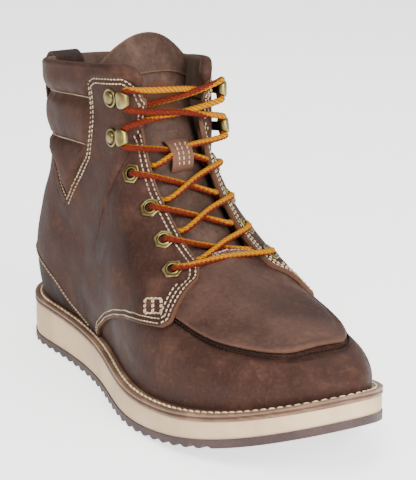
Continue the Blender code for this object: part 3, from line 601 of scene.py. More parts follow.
brass, cord = brassFinish(), cordFinish()
foam = layered("wedgeFoam", {"blotch": (38.0, 4.0, 0.6), "speck": (520.0, 2.0, 0.5), "pores": 900.0}, (198, 171, 134),
               [("blotch", 0.35, 0.7, 1.0, (182, 155, 121)), ("speck", 0.62, 0.72, 0.4, (172, 148, 118))],
               ("pores", 0.16, 0.0004), Roughness=0.72)
rubber = layered("treadRubber", {"blotch": (60.0, 4.0, 0.6), "fine": (800.0, 2.0, 0.6)}, (46, 29, 28),
                 [("blotch", 0.35, 0.7, 1.0, (62, 42, 40)), ("fine", 0.55, 0.7, 0.4, (84, 62, 58))],
                 ("fine", 0.2, 0.0003), Roughness=0.68)
board = layered("insoleBoard", {"blotch": (40.0, 4.0, 0.6), "fine": (900.0, 2.0)}, (112, 84, 62),
                [("blotch", 0.3, 0.7, 1.0, (140, 110, 84))], ("fine", 0.3, 0.0003), Roughness=0.8)
creamThread = threadFinish("creamThread", (218, 200, 170), (190, 168, 136))
greyThread = threadFinish("greyThread", (186, 166, 138), (146, 126, 102))
# dark thread for the moc seam row, also painted shade for the crevice under the plug's edge
darkThreadAndShade = threadFinish("darkThreadAndShade", (34, 22, 18), (20, 12, 10))
print("finishes made")

# Sole

sole = {"stations": 170, "toothDepth": 2.4, "toothPitch": 8.8, "toothStart": 3.0, "toothEnd": 249.4,
        "tip": 2.0, "valley": 4.2, "insoleInset": 9.2, "insoleThick": 3.5}


def soleStations(inset, count):
    span = boot["length"] - 2 * inset - 2 * boot["endLand"]
    return inset + boot["endLand"] + span * (1 - np.cos(np.pi * np.arange(count + 1) / count)) / 2


def toothDepth(x):
    part = np.mod(x - sole["toothStart"], sole["toothPitch"])
    knots = (0, sole["tip"], sole["valley"], sole["toothPitch"])
    return np.where(x > sole["toothEnd"], 0.0, np.interp(part, knots, (0, 0, sole["toothDepth"], 0)))


def slabMesh(name, stations, low, high, inset, bevel, bulge=0.0):  # a layer of the sole
    rings = []
    for x in stations:
        left, right = float(planEdge(lateral, x, inset)), float(planEdge(medial, x, inset))
        bottom, top = float(low(x)), float(high(x))
        swell = [(right + bulge * math.sin(math.pi * h), bottom + (top - bottom) * h) for h in (0.0, 0.3, 0.7, 1.0)]
        across = np.linspace(right, left, 9)[1:-1]
        other = [(left - (y - right), z) for y, z in reversed(swell)]
        ring = swell + [(y, top) for y in across] + other + [(y, bottom) for y in across[::-1]]
        rings.append([(x, y, z) for y, z in ring])
    return tubeMesh(name, np.array(rings), bevel=bevel, profile=0.5)


def outsoleStations():
    count = int((sole["toothEnd"] - sole["toothStart"]) / sole["toothPitch"] + 0.5)
    steps = (0.0, 1.0, 2.0, 2.5, 3.6, 4.2, 5.7, 7.3)
    teeth = [sole["toothStart"] + i * sole["toothPitch"] + d for i in range(count) for d in steps]
    low, high = sole["toothStart"] - 0.4, sole["toothEnd"] + 0.4
    ends = [x for x in soleStations(0.0, sole["stations"]) if x < low or x > high]
    return np.array(sorted(teeth + [sole["toothEnd"]] + ends))


outsoleMesh = slabMesh("outsole", outsoleStations(), lambda x: treadLine(x) + toothDepth(x),
                       lambda x: treadLine(x) + boot["outsole"], 0.0, 0.35)
makePiece("outsoleRubber", outsoleMesh, [rubber], ["outsole"])
midsoleMesh = slabMesh("midsole", soleStations(0.5, sole["stations"]), lambda x: treadLine(x) + boot["outsole"],
                       weltUnder, 0.6, 0.5, 0.35)
makePiece("midsoleFoam", midsoleMesh, [foam], ["midsole"])
insoleMesh = slabMesh("insole", soleStations(sole["insoleInset"], 90), weltUnder,
                      lambda x: weltUnder(x) + sole["insoleThick"], sole["insoleInset"], 0.8)
makePiece("insoleBed", insoleMesh, [board], ["insole"])

weltProfile = (  # inset, height
    (0.6, 0.0), (0.1, 0.35), (0.0, 0.9), (0.1, 1.6), (0.75, 2.0), (0.8, 2.2), (0.75, 2.4), (0.1, 2.8), (0.0, 3.4),
    (0.12, 4.0), (0.6, 4.4), (1.8, 4.45), (2.3, 4.2), (2.9, 3.95), (3.5, 4.2), (4.0, 4.45), (5.5, 4.4), (7.5, 4.3),
    (7.5, 0.0),
)


def weltMesh():
    turns = np.linspace(0, 2, 420, endpoint=False)
    side, around = ribPlace(turns)
    rings = []
    for inset, height in weltProfile:
        x, y = edgePoint(side, around, inset)
        rings.append(np.stack([x, y, weltUnder(x) + height], -1))
    rings = np.array(rings).transpose(1, 0, 2)
    rows, cols = rings.shape[:2]
    # distance from the welt's grooves, kept as rim; the finish paints shade near them
    groove = np.array([min(abs(h - 2.2) if i < 1 else 3.0, 1.0) if h < 3 else abs(i - 2.9) for i, h in weltProfile])
    return closeMesh("welt", rings.reshape(-1, 3), ringFaces(rows, cols, True), np.tile(groove, rows))


welt = makePiece("weltStrip", weltMesh(), [weltFinish()], ["welt"])
print("sole made")

# Upper

(mocSeam,) = tableCurves(
    ((0.0, 60.2), (0.08, 59.6), (0.15, 58.6), (0.20, 58.2), (0.25, 58.1), (0.325, 59.5), (0.36, 61.6), (0.40, 64.5),
     (0.44, 68.0)), mirrors=(0.0,))


def straight(rows):  # a line of straight steps through rows of rib and level
    table = np.array(rows).T
    return lambda around: np.interp(around, *table)


quarterLow = straight((
    (0.36, 59.0), (0.40, 57.3), (0.42, 56.7), (0.44, 56.4), (0.466, 54.5), (0.505, 49.3), (0.551, 40.5),
    (0.584, 31.3), (0.594, 22.0), (0.609, 23.5), (0.644, 27.3), (0.686, 31.9), (0.7265, 39.3), (0.775, 47.1),
    (0.85, 53.0), (1.0, 56.0)))
quiltLow = straight((
    (0.7524, 124.7), (0.757, 117.5), (0.762, 109.5), (0.766, 100.5), (0.7685, 95.2), (0.7715, 94.2), (0.776, 95.4),
    (0.79, 98.4), (0.801, 100.8), (0.828, 108.7), (0.86, 114.2), (0.93, 118.3), (1.0, 119.2)))

shell = {"cutSpare": 2.6, "topDrop": 5.0, "rows": 60, "seamDrop": 0.6, "seamWidth": 1.5, "trough": 1.8}
plug = {"end": 0.44, "lift": 2.4, "under": 1.0, "tuck": 1.0, "rows": 30, "crowd": 1.35}


def collarZ(around):
    return topPoint(1.0, np.asarray(around, float))[2]


def cornerDrop(around):  # the collar falls away at the throat
    return 9.0 * np.clip((0.69 - np.asarray(around)) / 0.045, 0, 1.2) ** 2


def bothWays(arounds):
    return list(arounds) + [2 - a for a in arounds[-2::-1]]


def shellColumns():
    arounds = spread((0.0, 60), (boot["throatBottom"], 8), (boot["throatOpen"], 64), (boot["throatEnd"], 44), 1.0)
    turns = np.array(bothWays(arounds)[:-1])
    around = ribPlace(turns)[1]
    opened = np.clip((around - boot["throatBottom"]) / (boot["throatOpen"] - boot["throatBottom"]), 0, 1)
    cut = np.where(around > boot["throatBottom"], cutHeight(turns, shell["cutSpare"], opened), 1.0)
    below = heightAt(turns, collarZ(around) - shell["topDrop"] - cornerDrop(around))
    tops = np.minimum(cut, np.where(around > boot["collarFront"], below, 1.0))
    columns = [[(t, -1.0)] + [(t, top * q) for q in np.linspace(0, 1, shell["rows"])] for t, top in zip(turns, tops)]
    return columns + columns[:1]


def shellWall(lift, trough=0.0):
    def at(turn, height, rim):
        around, z = ribPlace(turn)[1], lastPoint(turn, np.clip(height, 0, 1))[..., 2]
        seam = bell(z, mocSeam(np.minimum(around, plug["end"])) - shell["seamDrop"], shell["seamWidth"])
        seam *= trough * smooth((boot["throatBottom"] - around) / 0.02)
        points = hide(turn, np.clip(height, 0, 1), lift - seam)
        points[:, 2] = np.where(height < 0, weltUnder(points[:, 0]) + 0.3, points[:, 2])
        return points

    return at


shellSkin = skinMesh("shell", shellColumns(), shellWall(0.0, shell["trough"]), shellWall(-boot["wall"]), 0.5, True)
makePiece("shellLeather", shellSkin, [leatherOiled, leatherLining], ["upper"])


def plugColumns():
    arounds = np.linspace(0, plug["end"], 76)
    columns = []
    for turn in np.concatenate([-arounds[::-1], arounds[1:]]):
        low = float(heightAt(np.array([turn]), mocSeam(abs(turn)))[0])
        share = np.linspace(0, 1, plug["rows"]) ** plug["crowd"]
        columns.append([(turn, low + (1 - low) * q) for q in share])
    return columns


def plugTop(turn, height, rim):  # a rolled edge, a groove inside it, then the smooth apron
    roll = 0.5 * bell(rim, 2.0, 1.6) - 0.35 * bell(rim, 5.2, 1.2)
    return hide(turn, height, plug["lift"] + roll - 0.5 * bell(rim, 0.0, 0.9))


def plugUnder(turn, height, rim):
    return hide(turn, height, plug["under"] - plug["tuck"] * smooth((rim - 2) / 5))


apron = makePiece("plugLeather", skinMesh("plug", plugColumns(), plugTop, plugUnder, 0.5), [leatherPlugRubbedAndLit],
                  ["plug"])

quarter = {"low": 0.375, "high": 0.408, "roundFrom": 0.85, "corner": 0.9, "lowCorner": 0.55, "lowRound": 0.16,
           "down": 0.475, "thick": 2.1, "under": -0.15, "overPlug": 2.7, "quiltFront": 0.7524, "quiltTop": 0.769,
           "topDrop": 2.6, "backSeam": 0.9985}


def flapLift(around):
    return quarter["under"] + quarter["overPlug"] * smooth((quarter["down"] - around) / (quarter["down"] - 0.425))


def flapFront(level):  # rib of the front edge, with both corners rounded
    lean = quarter["low"] + (quarter["high"] - quarter["low"]) * level
    top = quarter["corner"] * np.clip(level - quarter["roundFrom"], 0, None) ** 2
    return lean + top + quarter["lowCorner"] * np.clip(quarter["lowRound"] - level, 0, None) ** 2


def quiltFront(level):
    back = quarter["quiltFront"] + (quarter["quiltTop"] - quarter["quiltFront"]) * np.clip(level, 0, None)
    return back - 1.2 * np.clip(level - 0.88, 0, None) ** 2


def eyestayTop(around):
    return collarZ(around) - quarter["topDrop"] - cornerDrop(around)


def quarterBounds(side, around):
    turn = turnOf(side, np.asarray(around, float))
    top = np.minimum(cutHeight(turn), heightAt(turn, eyestayTop(np.maximum(around, boot["collarFront"]))))
    top = np.where(np.asarray(around) < boot["collarFront"], cutHeight(turn), top)
    return heightAt(turn, quarterLow(around)), top


def underQuilt(side, around):
    return heightAt(turnOf(side, np.asarray(around, float)), quiltLow(around))


def quarterShare(side):
    front = np.array([quarter["quiltFront"]])
    low, top = quarterBounds(side, front)
    return float((underQuilt(side, front) - low)[0] / (top - low)[0])


def quarterKeys(side, levels, back):  # keys in front of the quilt: level from low edge to top, back from 0 to 1
    share = quarterShare(side)
    around = flapFront(levels) * (1 - back) + quiltFront((levels - share) / (1 - share)) * back
    low, top = quarterBounds(side, around)
    return turnOf(side, around), low + (top - low) * levels


def quarterColumns(side):
    share = quarterShare(side)
    lowLevels = np.linspace(0, share, 44)
    levels = np.concatenate([lowLevels, np.linspace(share, 1, 24)[1:]])
    columns = [list(zip(*quarterKeys(side, levels, back))) for back in np.linspace(0, 1, 74)]
    for around in spread((quarter["quiltFront"], 30), (0.785, 44), quarter["backSeam"])[1:]:
        at = np.full(lowLevels.shape, around)
        low, top = quarterBounds(side, at)[0], underQuilt(side, at)
        columns.append(list(zip(turnOf(side, at), low + (top - low) * lowLevels / share)))
    return columns


def quarterTop(turn, height, rim):  # the folded edge stands a little above the stitched rows
    fold = 0.35 * bell(rim, 1.1, 0.9) - 0.25 * bell(rim, 3.0, 0.9)
    return hide(turn, height, flapLift(ribPlace(turn)[1]) + quarter["thick"] + fold)


def quarterUnder(turn, height, rim):
    return hide(turn, height, flapLift(ribPlace(turn)[1]))


def lifted(lift):
    return lambda turn, height, rim: hide(turn, height, lift)


quarters = {}
for side, sideName in ((lateral, "lateral"), (medial, "medial")):
    mesh = skinMesh("quarter", quarterColumns(side), quarterTop, quarterUnder, 0.55)
    quarters[side] = makePiece("quarter" + sideName.title(), mesh, [leatherOiled],
                               ["quarter_" + sideName])

counter = {"front": 0.612, "low": 0.012, "lift": 1.2, "under": -0.2, "tuck": 2.0}


def counterColumns():
    turns = np.array(bothWays(np.linspace(counter["front"], 1, 80)))
    low, high = counter["low"], heightAt(turns, quarterLow(ribPlace(turns)[1]) + counter["tuck"])
    return [[(t, low + (top - low) * q) for q in np.linspace(0, 1, 16)] for t, top in zip(turns, high)]


counterSkin = skinMesh("counter", counterColumns(), lifted(counter["lift"]), lifted(counter["under"]), 0.4)
makePiece("counterLeather", counterSkin, [leatherCounter], ["heel_counter"])
print("panels made")

# Padded collar

pad = {"thin": 0.6, "thick": 5.2, "under": -0.2, "rollFat": 4.4, "lean": 2.8, "pucker": 0.3, "puckerPitch": 6.6,
       "girth": 250.0, "rollIn": 3.9, "cornerAt": 0.647, "stayFat": 3.0, "deep": 0.13}


def quilting(back, rise):  # level of a quilting line, from the back to the front
    return lambda around: back + rise * smooth((1 - np.asarray(around)) / 0.26)


lineOne, lineTwo = quilting(147.0, 10.0), quilting(121.5, 8.5)


def gathers(around, phase=0.0):
    return pad["pucker"] * np.sin(around * 2 * np.pi * pad["girth"] / pad["puckerPitch"] + phase)


def quiltColumns():
    columns = []
    steps = np.linspace(0, 1, 84)
    for side, back in [(medial, k) for k in steps] + [(lateral, k) for k in steps[-2::-1]]:
        level = np.linspace(0, 1, 44)
        front = quiltFront(level * 0.72) - 0.012
        around = front + (1 - front) * back
        low = quiltLow(quarter["quiltFront"] + (1 - quarter["quiltFront"]) * back) - 1.2
        z = low + (lineOne(around) + 1.0 - low) * level
        turn = turnOf(side, around)
        columns.append(list(zip(turn, heightAt(turn, z))))
    return columns


def quiltTop(turn, height, rim):
    around, z = ribPlace(turn)[1], lastPoint(turn, height)[..., 2]
    one, two, low = lineOne(around), lineTwo(around), quiltLow(np.maximum(around, quarter["quiltFront"]))
    upperShare = np.clip((z - two) / (one - two), 0, 1)
    lowerShare = np.clip((z - low) / np.maximum(two - low, 0.5), 0, 1)
    size = np.where(z >= two, 1.0, np.clip((two - low) / 14, 0, 1))
    puff = np.sin(np.pi * np.where(z >= two, upperShare, lowerShare)) ** 0.5 * size
    puff = puff * smooth(rim / 7.0)
    gather = gathers(around, z / 5) * bell(np.minimum(np.abs(z - one), np.abs(z - two)), 2.5, 2.2)
    return hide(turn, height, pad["thin"] + (pad["thick"] - pad["thin"]) * puff + gather * smooth(rim / 3))


quilt = makePiece("collarQuilt", skinMesh("quilt", quiltColumns(), quiltTop, lifted(pad["under"]), 0.3),
                  [leatherCollar], ["quilted_collar"])


def collarRollMesh():  # the top roll: up the outside, over the edge and down the inside
    arounds = spread((pad["cornerAt"], 40), (0.70, 90), 1.0)
    turns = np.array(bothWays(arounds))
    around = ribPlace(turns)[1]
    blend = smooth((around - 0.752) / 0.022)
    ends = smooth((around - pad["cornerAt"]) / 0.012) ** 0.5
    topZ = collarZ(around) + 2.0 + smooth((1 - around) / 0.25) - cornerDrop(around)
    lowZ = lineOne(around) * blend + (eyestayTop(around) - 3.0) * (1 - blend)
    fat = pad["rollFat"] * blend + pad["stayFat"] * (1 - blend)
    fat = pad["thin"] + (fat - pad["thin"]) * ends
    lean = pad["lean"] * smooth((around - 0.70) / 0.10)
    inside = boot["wall"] + (pad["rollIn"] - boot["wall"]) * ends
    half = (fat - lean + inside) / 2
    topH = heightAt(turns, topZ - half)
    lowH = heightAt(turns, lowZ)
    rows = []
    for q in np.linspace(0, 1, 16):
        height = lowH + (topH - lowH) * q
        gather = gathers(around) * bell(q, 0.16, 0.12) * blend
        puff = pad["thin"] + (fat - pad["thin"]) * np.sin(np.pi / 2 * min(q / 0.6, 1.0)) ** 0.7
        rows.append(hide(turns, height, puff + gather - lean * q**2))
    base, out = hide(turns, topH, 0.0), hideNormal(turns, topH)
    rise = unit(lastPoint(turns, topH) - lastPoint(turns, topH - 0.02))
    for angle in np.linspace(0, np.pi, 14)[1:]:
        side, over = (fat - lean - inside) / 2 + half * np.cos(angle), half * np.sin(angle)
        rows.append(base + out * side[:, None] + rise * over[:, None])
    folds = np.sin(around * 170) + 0.6 * np.sin(around * 310 + 1.0)
    for q in np.linspace(0, 1, 12)[1:]:
        soft = 0.55 * folds * np.sin(np.pi * q) * ends
        rows.append(hide(turns, topH - pad["deep"] * q, -inside + (inside - boot["wall"] - 0.3) * q**2 + soft))
    sections = np.array(rows).transpose(1, 0, 2)
    rows, cols = sections.shape[:2]
    lining = [i * cols + j for i in range(rows - 1) for j in range(24, cols)]
    return tubeMesh("collarRoll", sections, np.full(rows * cols, 6.0), inner=lining)


collarRoll = makePiece("collarRoll", collarRollMesh(), [leatherCollar, leatherLining])
print("collar made")

# Tongue, keeper and pull loop

tongueRows = (  # x, z, half width, sag
    (202, 72, 20, 6), (186, 81, 23.5, 9.5), (165, 98.5, 25, 12), (144.6, 119.6, 23.5, 13), (128, 147, 24, 11),
    (114.5, 170, 25, 7), (104, 191, 27, 3),
)
tongueX, tongueZ, tongueHalf, tongueSag = tableCurves([(i, *row) for i, row in enumerate(tongueRows)])
tongue = {"peak": 15.0, "last": len(tongueRows) - 1.0}


def sideNormal(lineX, lineZ, along):  # square to a line in side view
    step = 1e-3
    runX, runZ = lineX(along + step) - lineX(along - step), lineZ(along + step) - lineZ(along - step)
    size = np.hypot(runX, runZ)
    return runZ / size, -runX / size


def tonguePoint(along, across, lift=0.0):
    outX, outZ = sideNormal(tongueX, tongueZ, along)
    away = lift - tongueSag(along) * across**2
    x, z = tongueX(along) + outX * away, tongueZ(along) + outZ * away
    z = z - tongue["peak"] * np.clip(2 * along / tongue["last"] - 1, 0, None) * across**2
    return np.stack(np.broadcast_arrays(x, centreLine(x) + tongueHalf(along) * across, z), -1)


def tongueSheet(name, low, high, reach, top, under, bevel, steps):
    across, share = np.meshgrid(np.linspace(-reach, reach, steps[1]), np.linspace(0, 1, steps[0]))
    along = low(across) + (high - low(across)) * share
    wave = 0.35 * np.sin(along * 5 + across * 3) + 0.25 * np.sin(along * 9 - across * 7)
    outer, inner = (tonguePoint(along, across, lift + wave) for lift in (top(across), under))
    return gridMesh(name, outer, inner, bevel)


tongueMesh = tongueSheet("tongue", lambda c: 0 * c, 5.9, 1.0, lambda c: 0.2 + 0.6 * (1 - c**2), -2.6, 0.9, (90, 44))
makePiece("tongueLeather", tongueMesh, [leatherTongue], ["tongue"])
capMesh = tongueSheet("tongueCap", lambda c: 5.02 + 0.42 * c**2, 6.0, 1.0, lambda c: 1.7 + 0.5 * (1 - c**4), -3.3, 1.3,
                      (36, 44))
makePiece("tongueCap", capMesh, [leatherTongue])
patchMesh = tongueSheet("tonguePatch", lambda c: 4.2 + 0 * c, 4.82, 0.46, lambda c: 1.15 + 0 * c, 0.2, 0.3, (24, 24))
makePiece("tonguePatch", patchMesh, [leatherSuede])

keeper = {"width": 12.6, "thick": 1.7, "bow": 6.6, "along": 3.36, "reach": 0.56, "round": 0.6, "gap": 0.7}


def keeperGrid(lift):
    across, share = np.meshgrid(np.linspace(-0.5, 0.5, 20), np.linspace(0, 1, 44))
    along = keeper["along"] + (share - 0.5) * keeper["reach"]
    bow = keeper["bow"] * np.sin(np.pi * np.clip(share, 0, 1)) ** keeper["round"]
    return tonguePoint(along, across * keeper["width"] / tongueHalf(along), keeper["gap"] + bow + lift)


keeperMesh = gridMesh("keeper", keeperGrid(keeper["thick"]), keeperGrid(0.0), 0.45)
keeperPiece = makePiece("laceKeeper", keeperMesh, [leatherKeeper], ["lace_keeper"])

loopRows = (  # x, z
    (2.8, 133.4), (0.2, 139.0), (-1.2, 147.0), (-1.2, 157.0), (0.8, 163.4), (5.2, 166.8), (11.2, 166.6), (16.4, 162.6),
    (17.4, 157.5),
)
loop = {"width": 17.0, "thick": 2.0, "sink": 0.6}


def loopGrid(lift):
    loopX, loopZ = tableCurves([(i, *row) for i, row in enumerate(loopRows)])
    across, along = np.meshgrid(np.linspace(-0.5, 0.5, 14), np.linspace(0, len(loopRows) - 1, 70))
    inX, inZ = sideNormal(loopX, loopZ, along)
    return np.stack([loopX(along) - inX * lift, across * loop["width"], loopZ(along) - inZ * lift], -1)


loopMesh = gridMesh("loop", *(loopGrid(k * loop["thick"] / 2 - loop["sink"]) for k in (1, -1)), 0.5)
makePiece("pullLoop", loopMesh, [leatherCounter], ["pull_loop"])
print("tongue made")

# Brass fittings, one shape of each kind set on its places

eyeletRows = ((185, 80), (168.5, 93), (152, 106.5), (135.5, 122))
hookRows = ((120.5, 139.5), (119.5, 161))
eyelet = {"across": 10.0, "sides": 48}
hook = {"base": 5.2, "climb": 2.5}


def locate(side, x, z):  # key on the last nearest to a place in side view
    aroundSpan, heightSpan = np.array([0.38, 0.75]), np.array([0.15, 1.0])
    for _ in range(7):
        around, height = np.meshgrid(np.linspace(*aroundSpan, 25), np.linspace(*heightSpan, 25))
        point = lastPoint(turnOf(side, around), height)
        best = np.argmin((point[..., 0] - x) ** 2 + (point[..., 2] - z) ** 2)
        a, h = around.flat[best], height.flat[best]
        aroundSpan = a + (aroundSpan - aroundSpan.mean()) / 5
        heightSpan = np.clip(h + (heightSpan - heightSpan.mean()) / 5, 0, 1)
    return turnOf(side, a), h


def flapPoint(turn, height):  # place and normal on a quarter's outside
    return hide(turn, height, flapLift(ribPlace(turn)[1]) + quarter["thick"]), hideNormal(turn, height)


def panelLine(side, around, height):
    return flapPoint(turnOf(side, np.asarray(around, float)), np.asarray(height, float))


throatRibs = np.linspace(0.412, 0.66, 160)
throatLines = {k: panelLine(k, throatRibs, quarterBounds(k, throatRibs)[1]) for k in (lateral, medial)}


def throatEdge(side, z):
    line, out = throatLines[side]
    i = int(np.argmin(np.abs(line[:, 2] - z)))
    return line[i], out[i]


def fittingFrame(side, x, z, climb=0.0):  # origin on the flap, the way to the throat, the way up along it, and out
    origin, out = flapPoint(*(np.array(v) for v in locate(side, x, z)))
    inward = throatEdge(side, z + climb)[0] - origin
    inward = unit(inward - out * (inward @ out))
    return origin, inward, np.cross(out, inward) * -side, out


eyeletFrames = {side: [fittingFrame(side, x, z) for x, z in eyeletRows] for side in (lateral, medial)}
hookFrames = {side: [fittingFrame(side, x, z, hook["climb"]) for x, z in hookRows] for side in (lateral, medial)}


def settingTree():
    tree = bpy.data.node_groups.new("setOnPoints", "GeometryNodeTree")
    for name, way, kind in (
        ("Geometry", "INPUT", "Geometry"), ("shape", "INPUT", "Object"), ("size", "INPUT", "Vector"),
        ("finish", "INPUT", "Material"), ("Geometry", "OUTPUT", "Geometry"),
    ):
        tree.interface.new_socket(name, in_out=way, socket_type="NodeSocket" + kind)
    make, link = tree.nodes.new, tree.links.new
    given, result = make("NodeGroupInput"), make("NodeGroupOutput")
    shape = make("GeometryNodeObjectInfo")
    along, out = make("GeometryNodeInputNamedAttribute"), make("GeometryNodeInputNamedAttribute")
    for node, name in ((along, "along"), (out, "out")):
        node.data_type = "FLOAT_VECTOR"
        node.inputs["Name"].default_value = name
    lie, stand = make("FunctionNodeAlignRotationToVector"), make("FunctionNodeAlignRotationToVector")
    lie.axis, stand.axis, stand.pivot_axis = "X", "Z", "X"
    place, real = make("GeometryNodeInstanceOnPoints"), make("GeometryNodeRealizeInstances")
    paint = make("GeometryNodeSetMaterial")
    for source, output, target, socket in (
        (given, "shape", shape, "Object"), (along, "Attribute", lie, "Vector"), (lie, "Rotation", stand, "Rotation"),
        (out, "Attribute", stand, "Vector"), (given, "Geometry", place, "Points"),
        (shape, "Geometry", place, "Instance"), (stand, "Rotation", place, "Rotation"), (given, "size", place, "Scale"),
        (place, "Instances", real, "Geometry"), (real, "Geometry", paint, "Geometry"),
        (given, "finish", paint, "Material"), (paint, "Geometry", result, "Geometry"),
    ):
        link(source.outputs[output], target.inputs[socket])
    return tree


setOnPoints = settingTree()


def setPieces(name, shapeMesh, points, along, out, size, finish):  # points in row metres
    mesh = bpy.data.meshes.new(name)
    mesh.from_pydata([tuple(p) for p in points], [], [])
    for label, values in (("along", along), ("out", out)):
        data = np.asarray(values, np.float32).ravel()
        mesh.attributes.new(label, "FLOAT_VECTOR", "POINT").data.foreach_set("vector", data)
    holder, shape = addObject(name + "Points", mesh), addObject(name + "Shape", shapeMesh)
    modifier = holder.modifiers.new("set", "NODES")
    modifier.node_group = setOnPoints
    values = {"shape": shape, "size": size, "finish": finish}
    for item in setOnPoints.interface.items_tree:
        if item.item_type == "SOCKET" and item.in_out == "INPUT" and item.name in values:
            modifier[item.identifier] = values[item.name]
    holder.update_tag()
    graph = bpy.context.evaluated_depsgraph_get()
    graph.update()
    result = bpy.data.meshes.new_from_object(holder.evaluated_get(graph))
    result.name = name
    holder.modifiers.clear()
    for made in (holder, shape):
        bpy.data.objects.remove(made)
    return result


def eyeletMesh():  # six-sided outside, round rolled lip inside
    turn = np.arange(eyelet["sides"]) * 2 * np.pi / eyelet["sides"]
    flat = eyelet["across"] / 2 / np.cos(np.mod(turn, np.pi / 3) - np.pi / 6)
    rows = (  # six-sided share, radius share, height, darkening for patina and painted shade
        (1.0, 1.0, -0.8, 1.0), (1.0, 1.0, 0.6, 0.2), (1.0, 0.97, 0.95, 0.0), (1.0, 0.90, 1.15, 0.0),
        (0.5, 0.80, 1.05, 0.4), (0.0, 0.73, 0.95, 0.7), (0.0, 0.69, 1.35, 0.0), (0.0, 0.62, 1.55, 0.0),
        # the bore rows on this line darken: painted shade inside the hole
        (0.0, 0.55, 1.35, 0.2), (0.0, 0.52, 0.5, 1.0), (0.0, 0.52, -0.8, 1.0),
    )
    points, patinaAndShade = [], []
    for six, radius, height, deep in rows:
        reach = radius * (six * flat + (1 - six) * eyelet["across"] / 2)
        points += list(zip(reach * np.cos(turn) * mm, reach * np.sin(turn) * mm, np.full(turn.shape, height * mm)))
        patinaAndShade += [deep] * len(turn)
    return solidMesh("eyelet", points, ringFaces(len(rows), len(turn), True), {"patinaAndShade": patinaAndShade})


def hookMesh():  # round base and rivet, and the tab that runs to the throat, rises and folds back
    turn = np.arange(32) * 2 * np.pi / 32
    rows = (  # radius share, height, darkening for patina and painted shade
        (1.0, -0.6, 1.0), (1.0, 0.8, 0.2), (0.95, 1.25, 0.0), (0.86, 1.35, 0.0), (0.77, 1.1, 0.4), (0.71, 0.6, 1.0),
        (0.64, 0.6, 1.0), (0.61, 1.6, 0.3), (0.54, 2.1, 0.0), (0.36, 2.5, 0.0), (0.12, 2.6, 0.0),
    )
    base = hook["base"] * mm
    points = [(base * r * math.cos(t), base * r * math.sin(t), h * mm) for r, h, d in rows for t in turn]
    patinaAndShade = [d for r, h, d in rows for t in turn]
    faces = ringFaces(len(rows), len(turn), False)
    faces += [tuple(range(32)), tuple(range((len(rows) - 1) * 32, len(rows) * 32))]
    tabRows = (  # reach, height, half width, half thickness of the tab's middle line
        (4.4, 0.5, 2.6, 0.5), (9.0, 0.5, 2.6, 0.5), (14.0, 0.5, 2.6, 0.5), (16.6, 0.7, 2.7, 0.55),
        (18.2, 1.5, 2.9, 0.6), (18.8, 2.6, 3.2, 0.65), (18.5, 3.8, 3.7, 0.7), (17.4, 4.7, 4.2, 0.8),
        (15.8, 5.0, 4.5, 0.85), (14.0, 4.9, 4.5, 0.85), (12.6, 4.6, 4.1, 0.8), (11.8, 4.3, 3.3, 0.7),
        (11.5, 4.15, 1.9, 0.5),
    )
    middle = np.array(tabRows)
    run = np.gradient(middle[:, :2], axis=0)
    out = unit(np.stack([run[:, 1], -run[:, 0]], -1))
    start, cols = len(points), 20
    section = [(math.cos(a), math.sin(a)) for a in np.arange(cols) * 2 * np.pi / cols]
    for (reach, height, half, thick), (ox, oz) in zip(tabRows, out):
        for c, s in section:
            wide = half * math.copysign(abs(c) ** 0.55, c)
            deep = thick * math.copysign(abs(s) ** 0.8, s)
            points.append(((reach + ox * deep) * mm, wide * mm, (height + oz * deep) * mm))
            # the tab darkens towards its low end: painted shade under the folded head
            patinaAndShade.append(1.0 if height < 1 else max(0.0, 0.6 - height / 6))
    end = (len(tabRows) - 1) * cols
    tab = ringFaces(len(tabRows), cols, False) + [range(cols), range(end, end + cols)]
    faces += [tuple(start + i for i in ring) for ring in tab]
    return solidMesh("hook", points, faces, {"patinaAndShade": patinaAndShade})


def setFittings(name, mesh, frames, node):
    places = [f for side in (lateral, medial) for f in frames[side]]
    origins, along, _, outs = zip(*places)
    result = setPieces(name, mesh, [toRow(p) for p in origins], along, outs, (1, 1, 1), brass)
    count = len(frames[lateral])
    nodes = [f"{node}_{sideName}_{i}" for sideName in ("lateral", "medial") for i in range(1, count + 1)]
    makePiece(name, result, [], nodes)


setFittings("eyeletRings", eyeletMesh(), eyeletFrames, "eyelet")
setFittings("laceHooks", hookMesh(), hookFrames, "hook")
print("fittings made")

# Lace

lace = {"radius": 1.7, "step": 0.6, "sides": 16, "braid": 0.07, "braidTurn": 2.4, "relax": 0.09, "clear": 4.0,
        "cross": 1.6, "tuckZ": {lateral: 163.0, medial: 158.0}, "face": np.array((0.83, -0.49, 0.27))}
hookTurn = (  # the lace round a hook: inward, up, out
    (18.6, -5.2, 2.0), (15.9, -4.5, 2.1), (14.2, -2.5, 2.2), (13.6, 0.0, 2.2), (14.2, 2.5, 2.2), (15.9, 4.5, 2.1),
    (18.6, 5.2, 2.0),
)


def runLength(points):  # length along a line up to each of its points
    return np.concatenate([[0], np.cumsum(np.linalg.norm(np.diff(points, axis=0), axis=1))])


def smoothLine(points, step):  # an even line through the points
    points = np.array(points, float)
    size = np.linalg.norm(np.diff(points, axis=0), axis=1) ** 0.6
    knots = np.concatenate([[0], np.cumsum(size)])
    fine = np.linspace(0, knots[-1], 40 * len(points))
    line = np.stack([curveThrough(knots, points[:, i])(fine) for i in range(3)], -1)
    run = runLength(line)
    even = np.linspace(0, run[-1], max(int(run[-1] / step), 8))
    return np.stack([np.interp(even, run, line[:, i]) for i in range(3)], -1), run[-1]


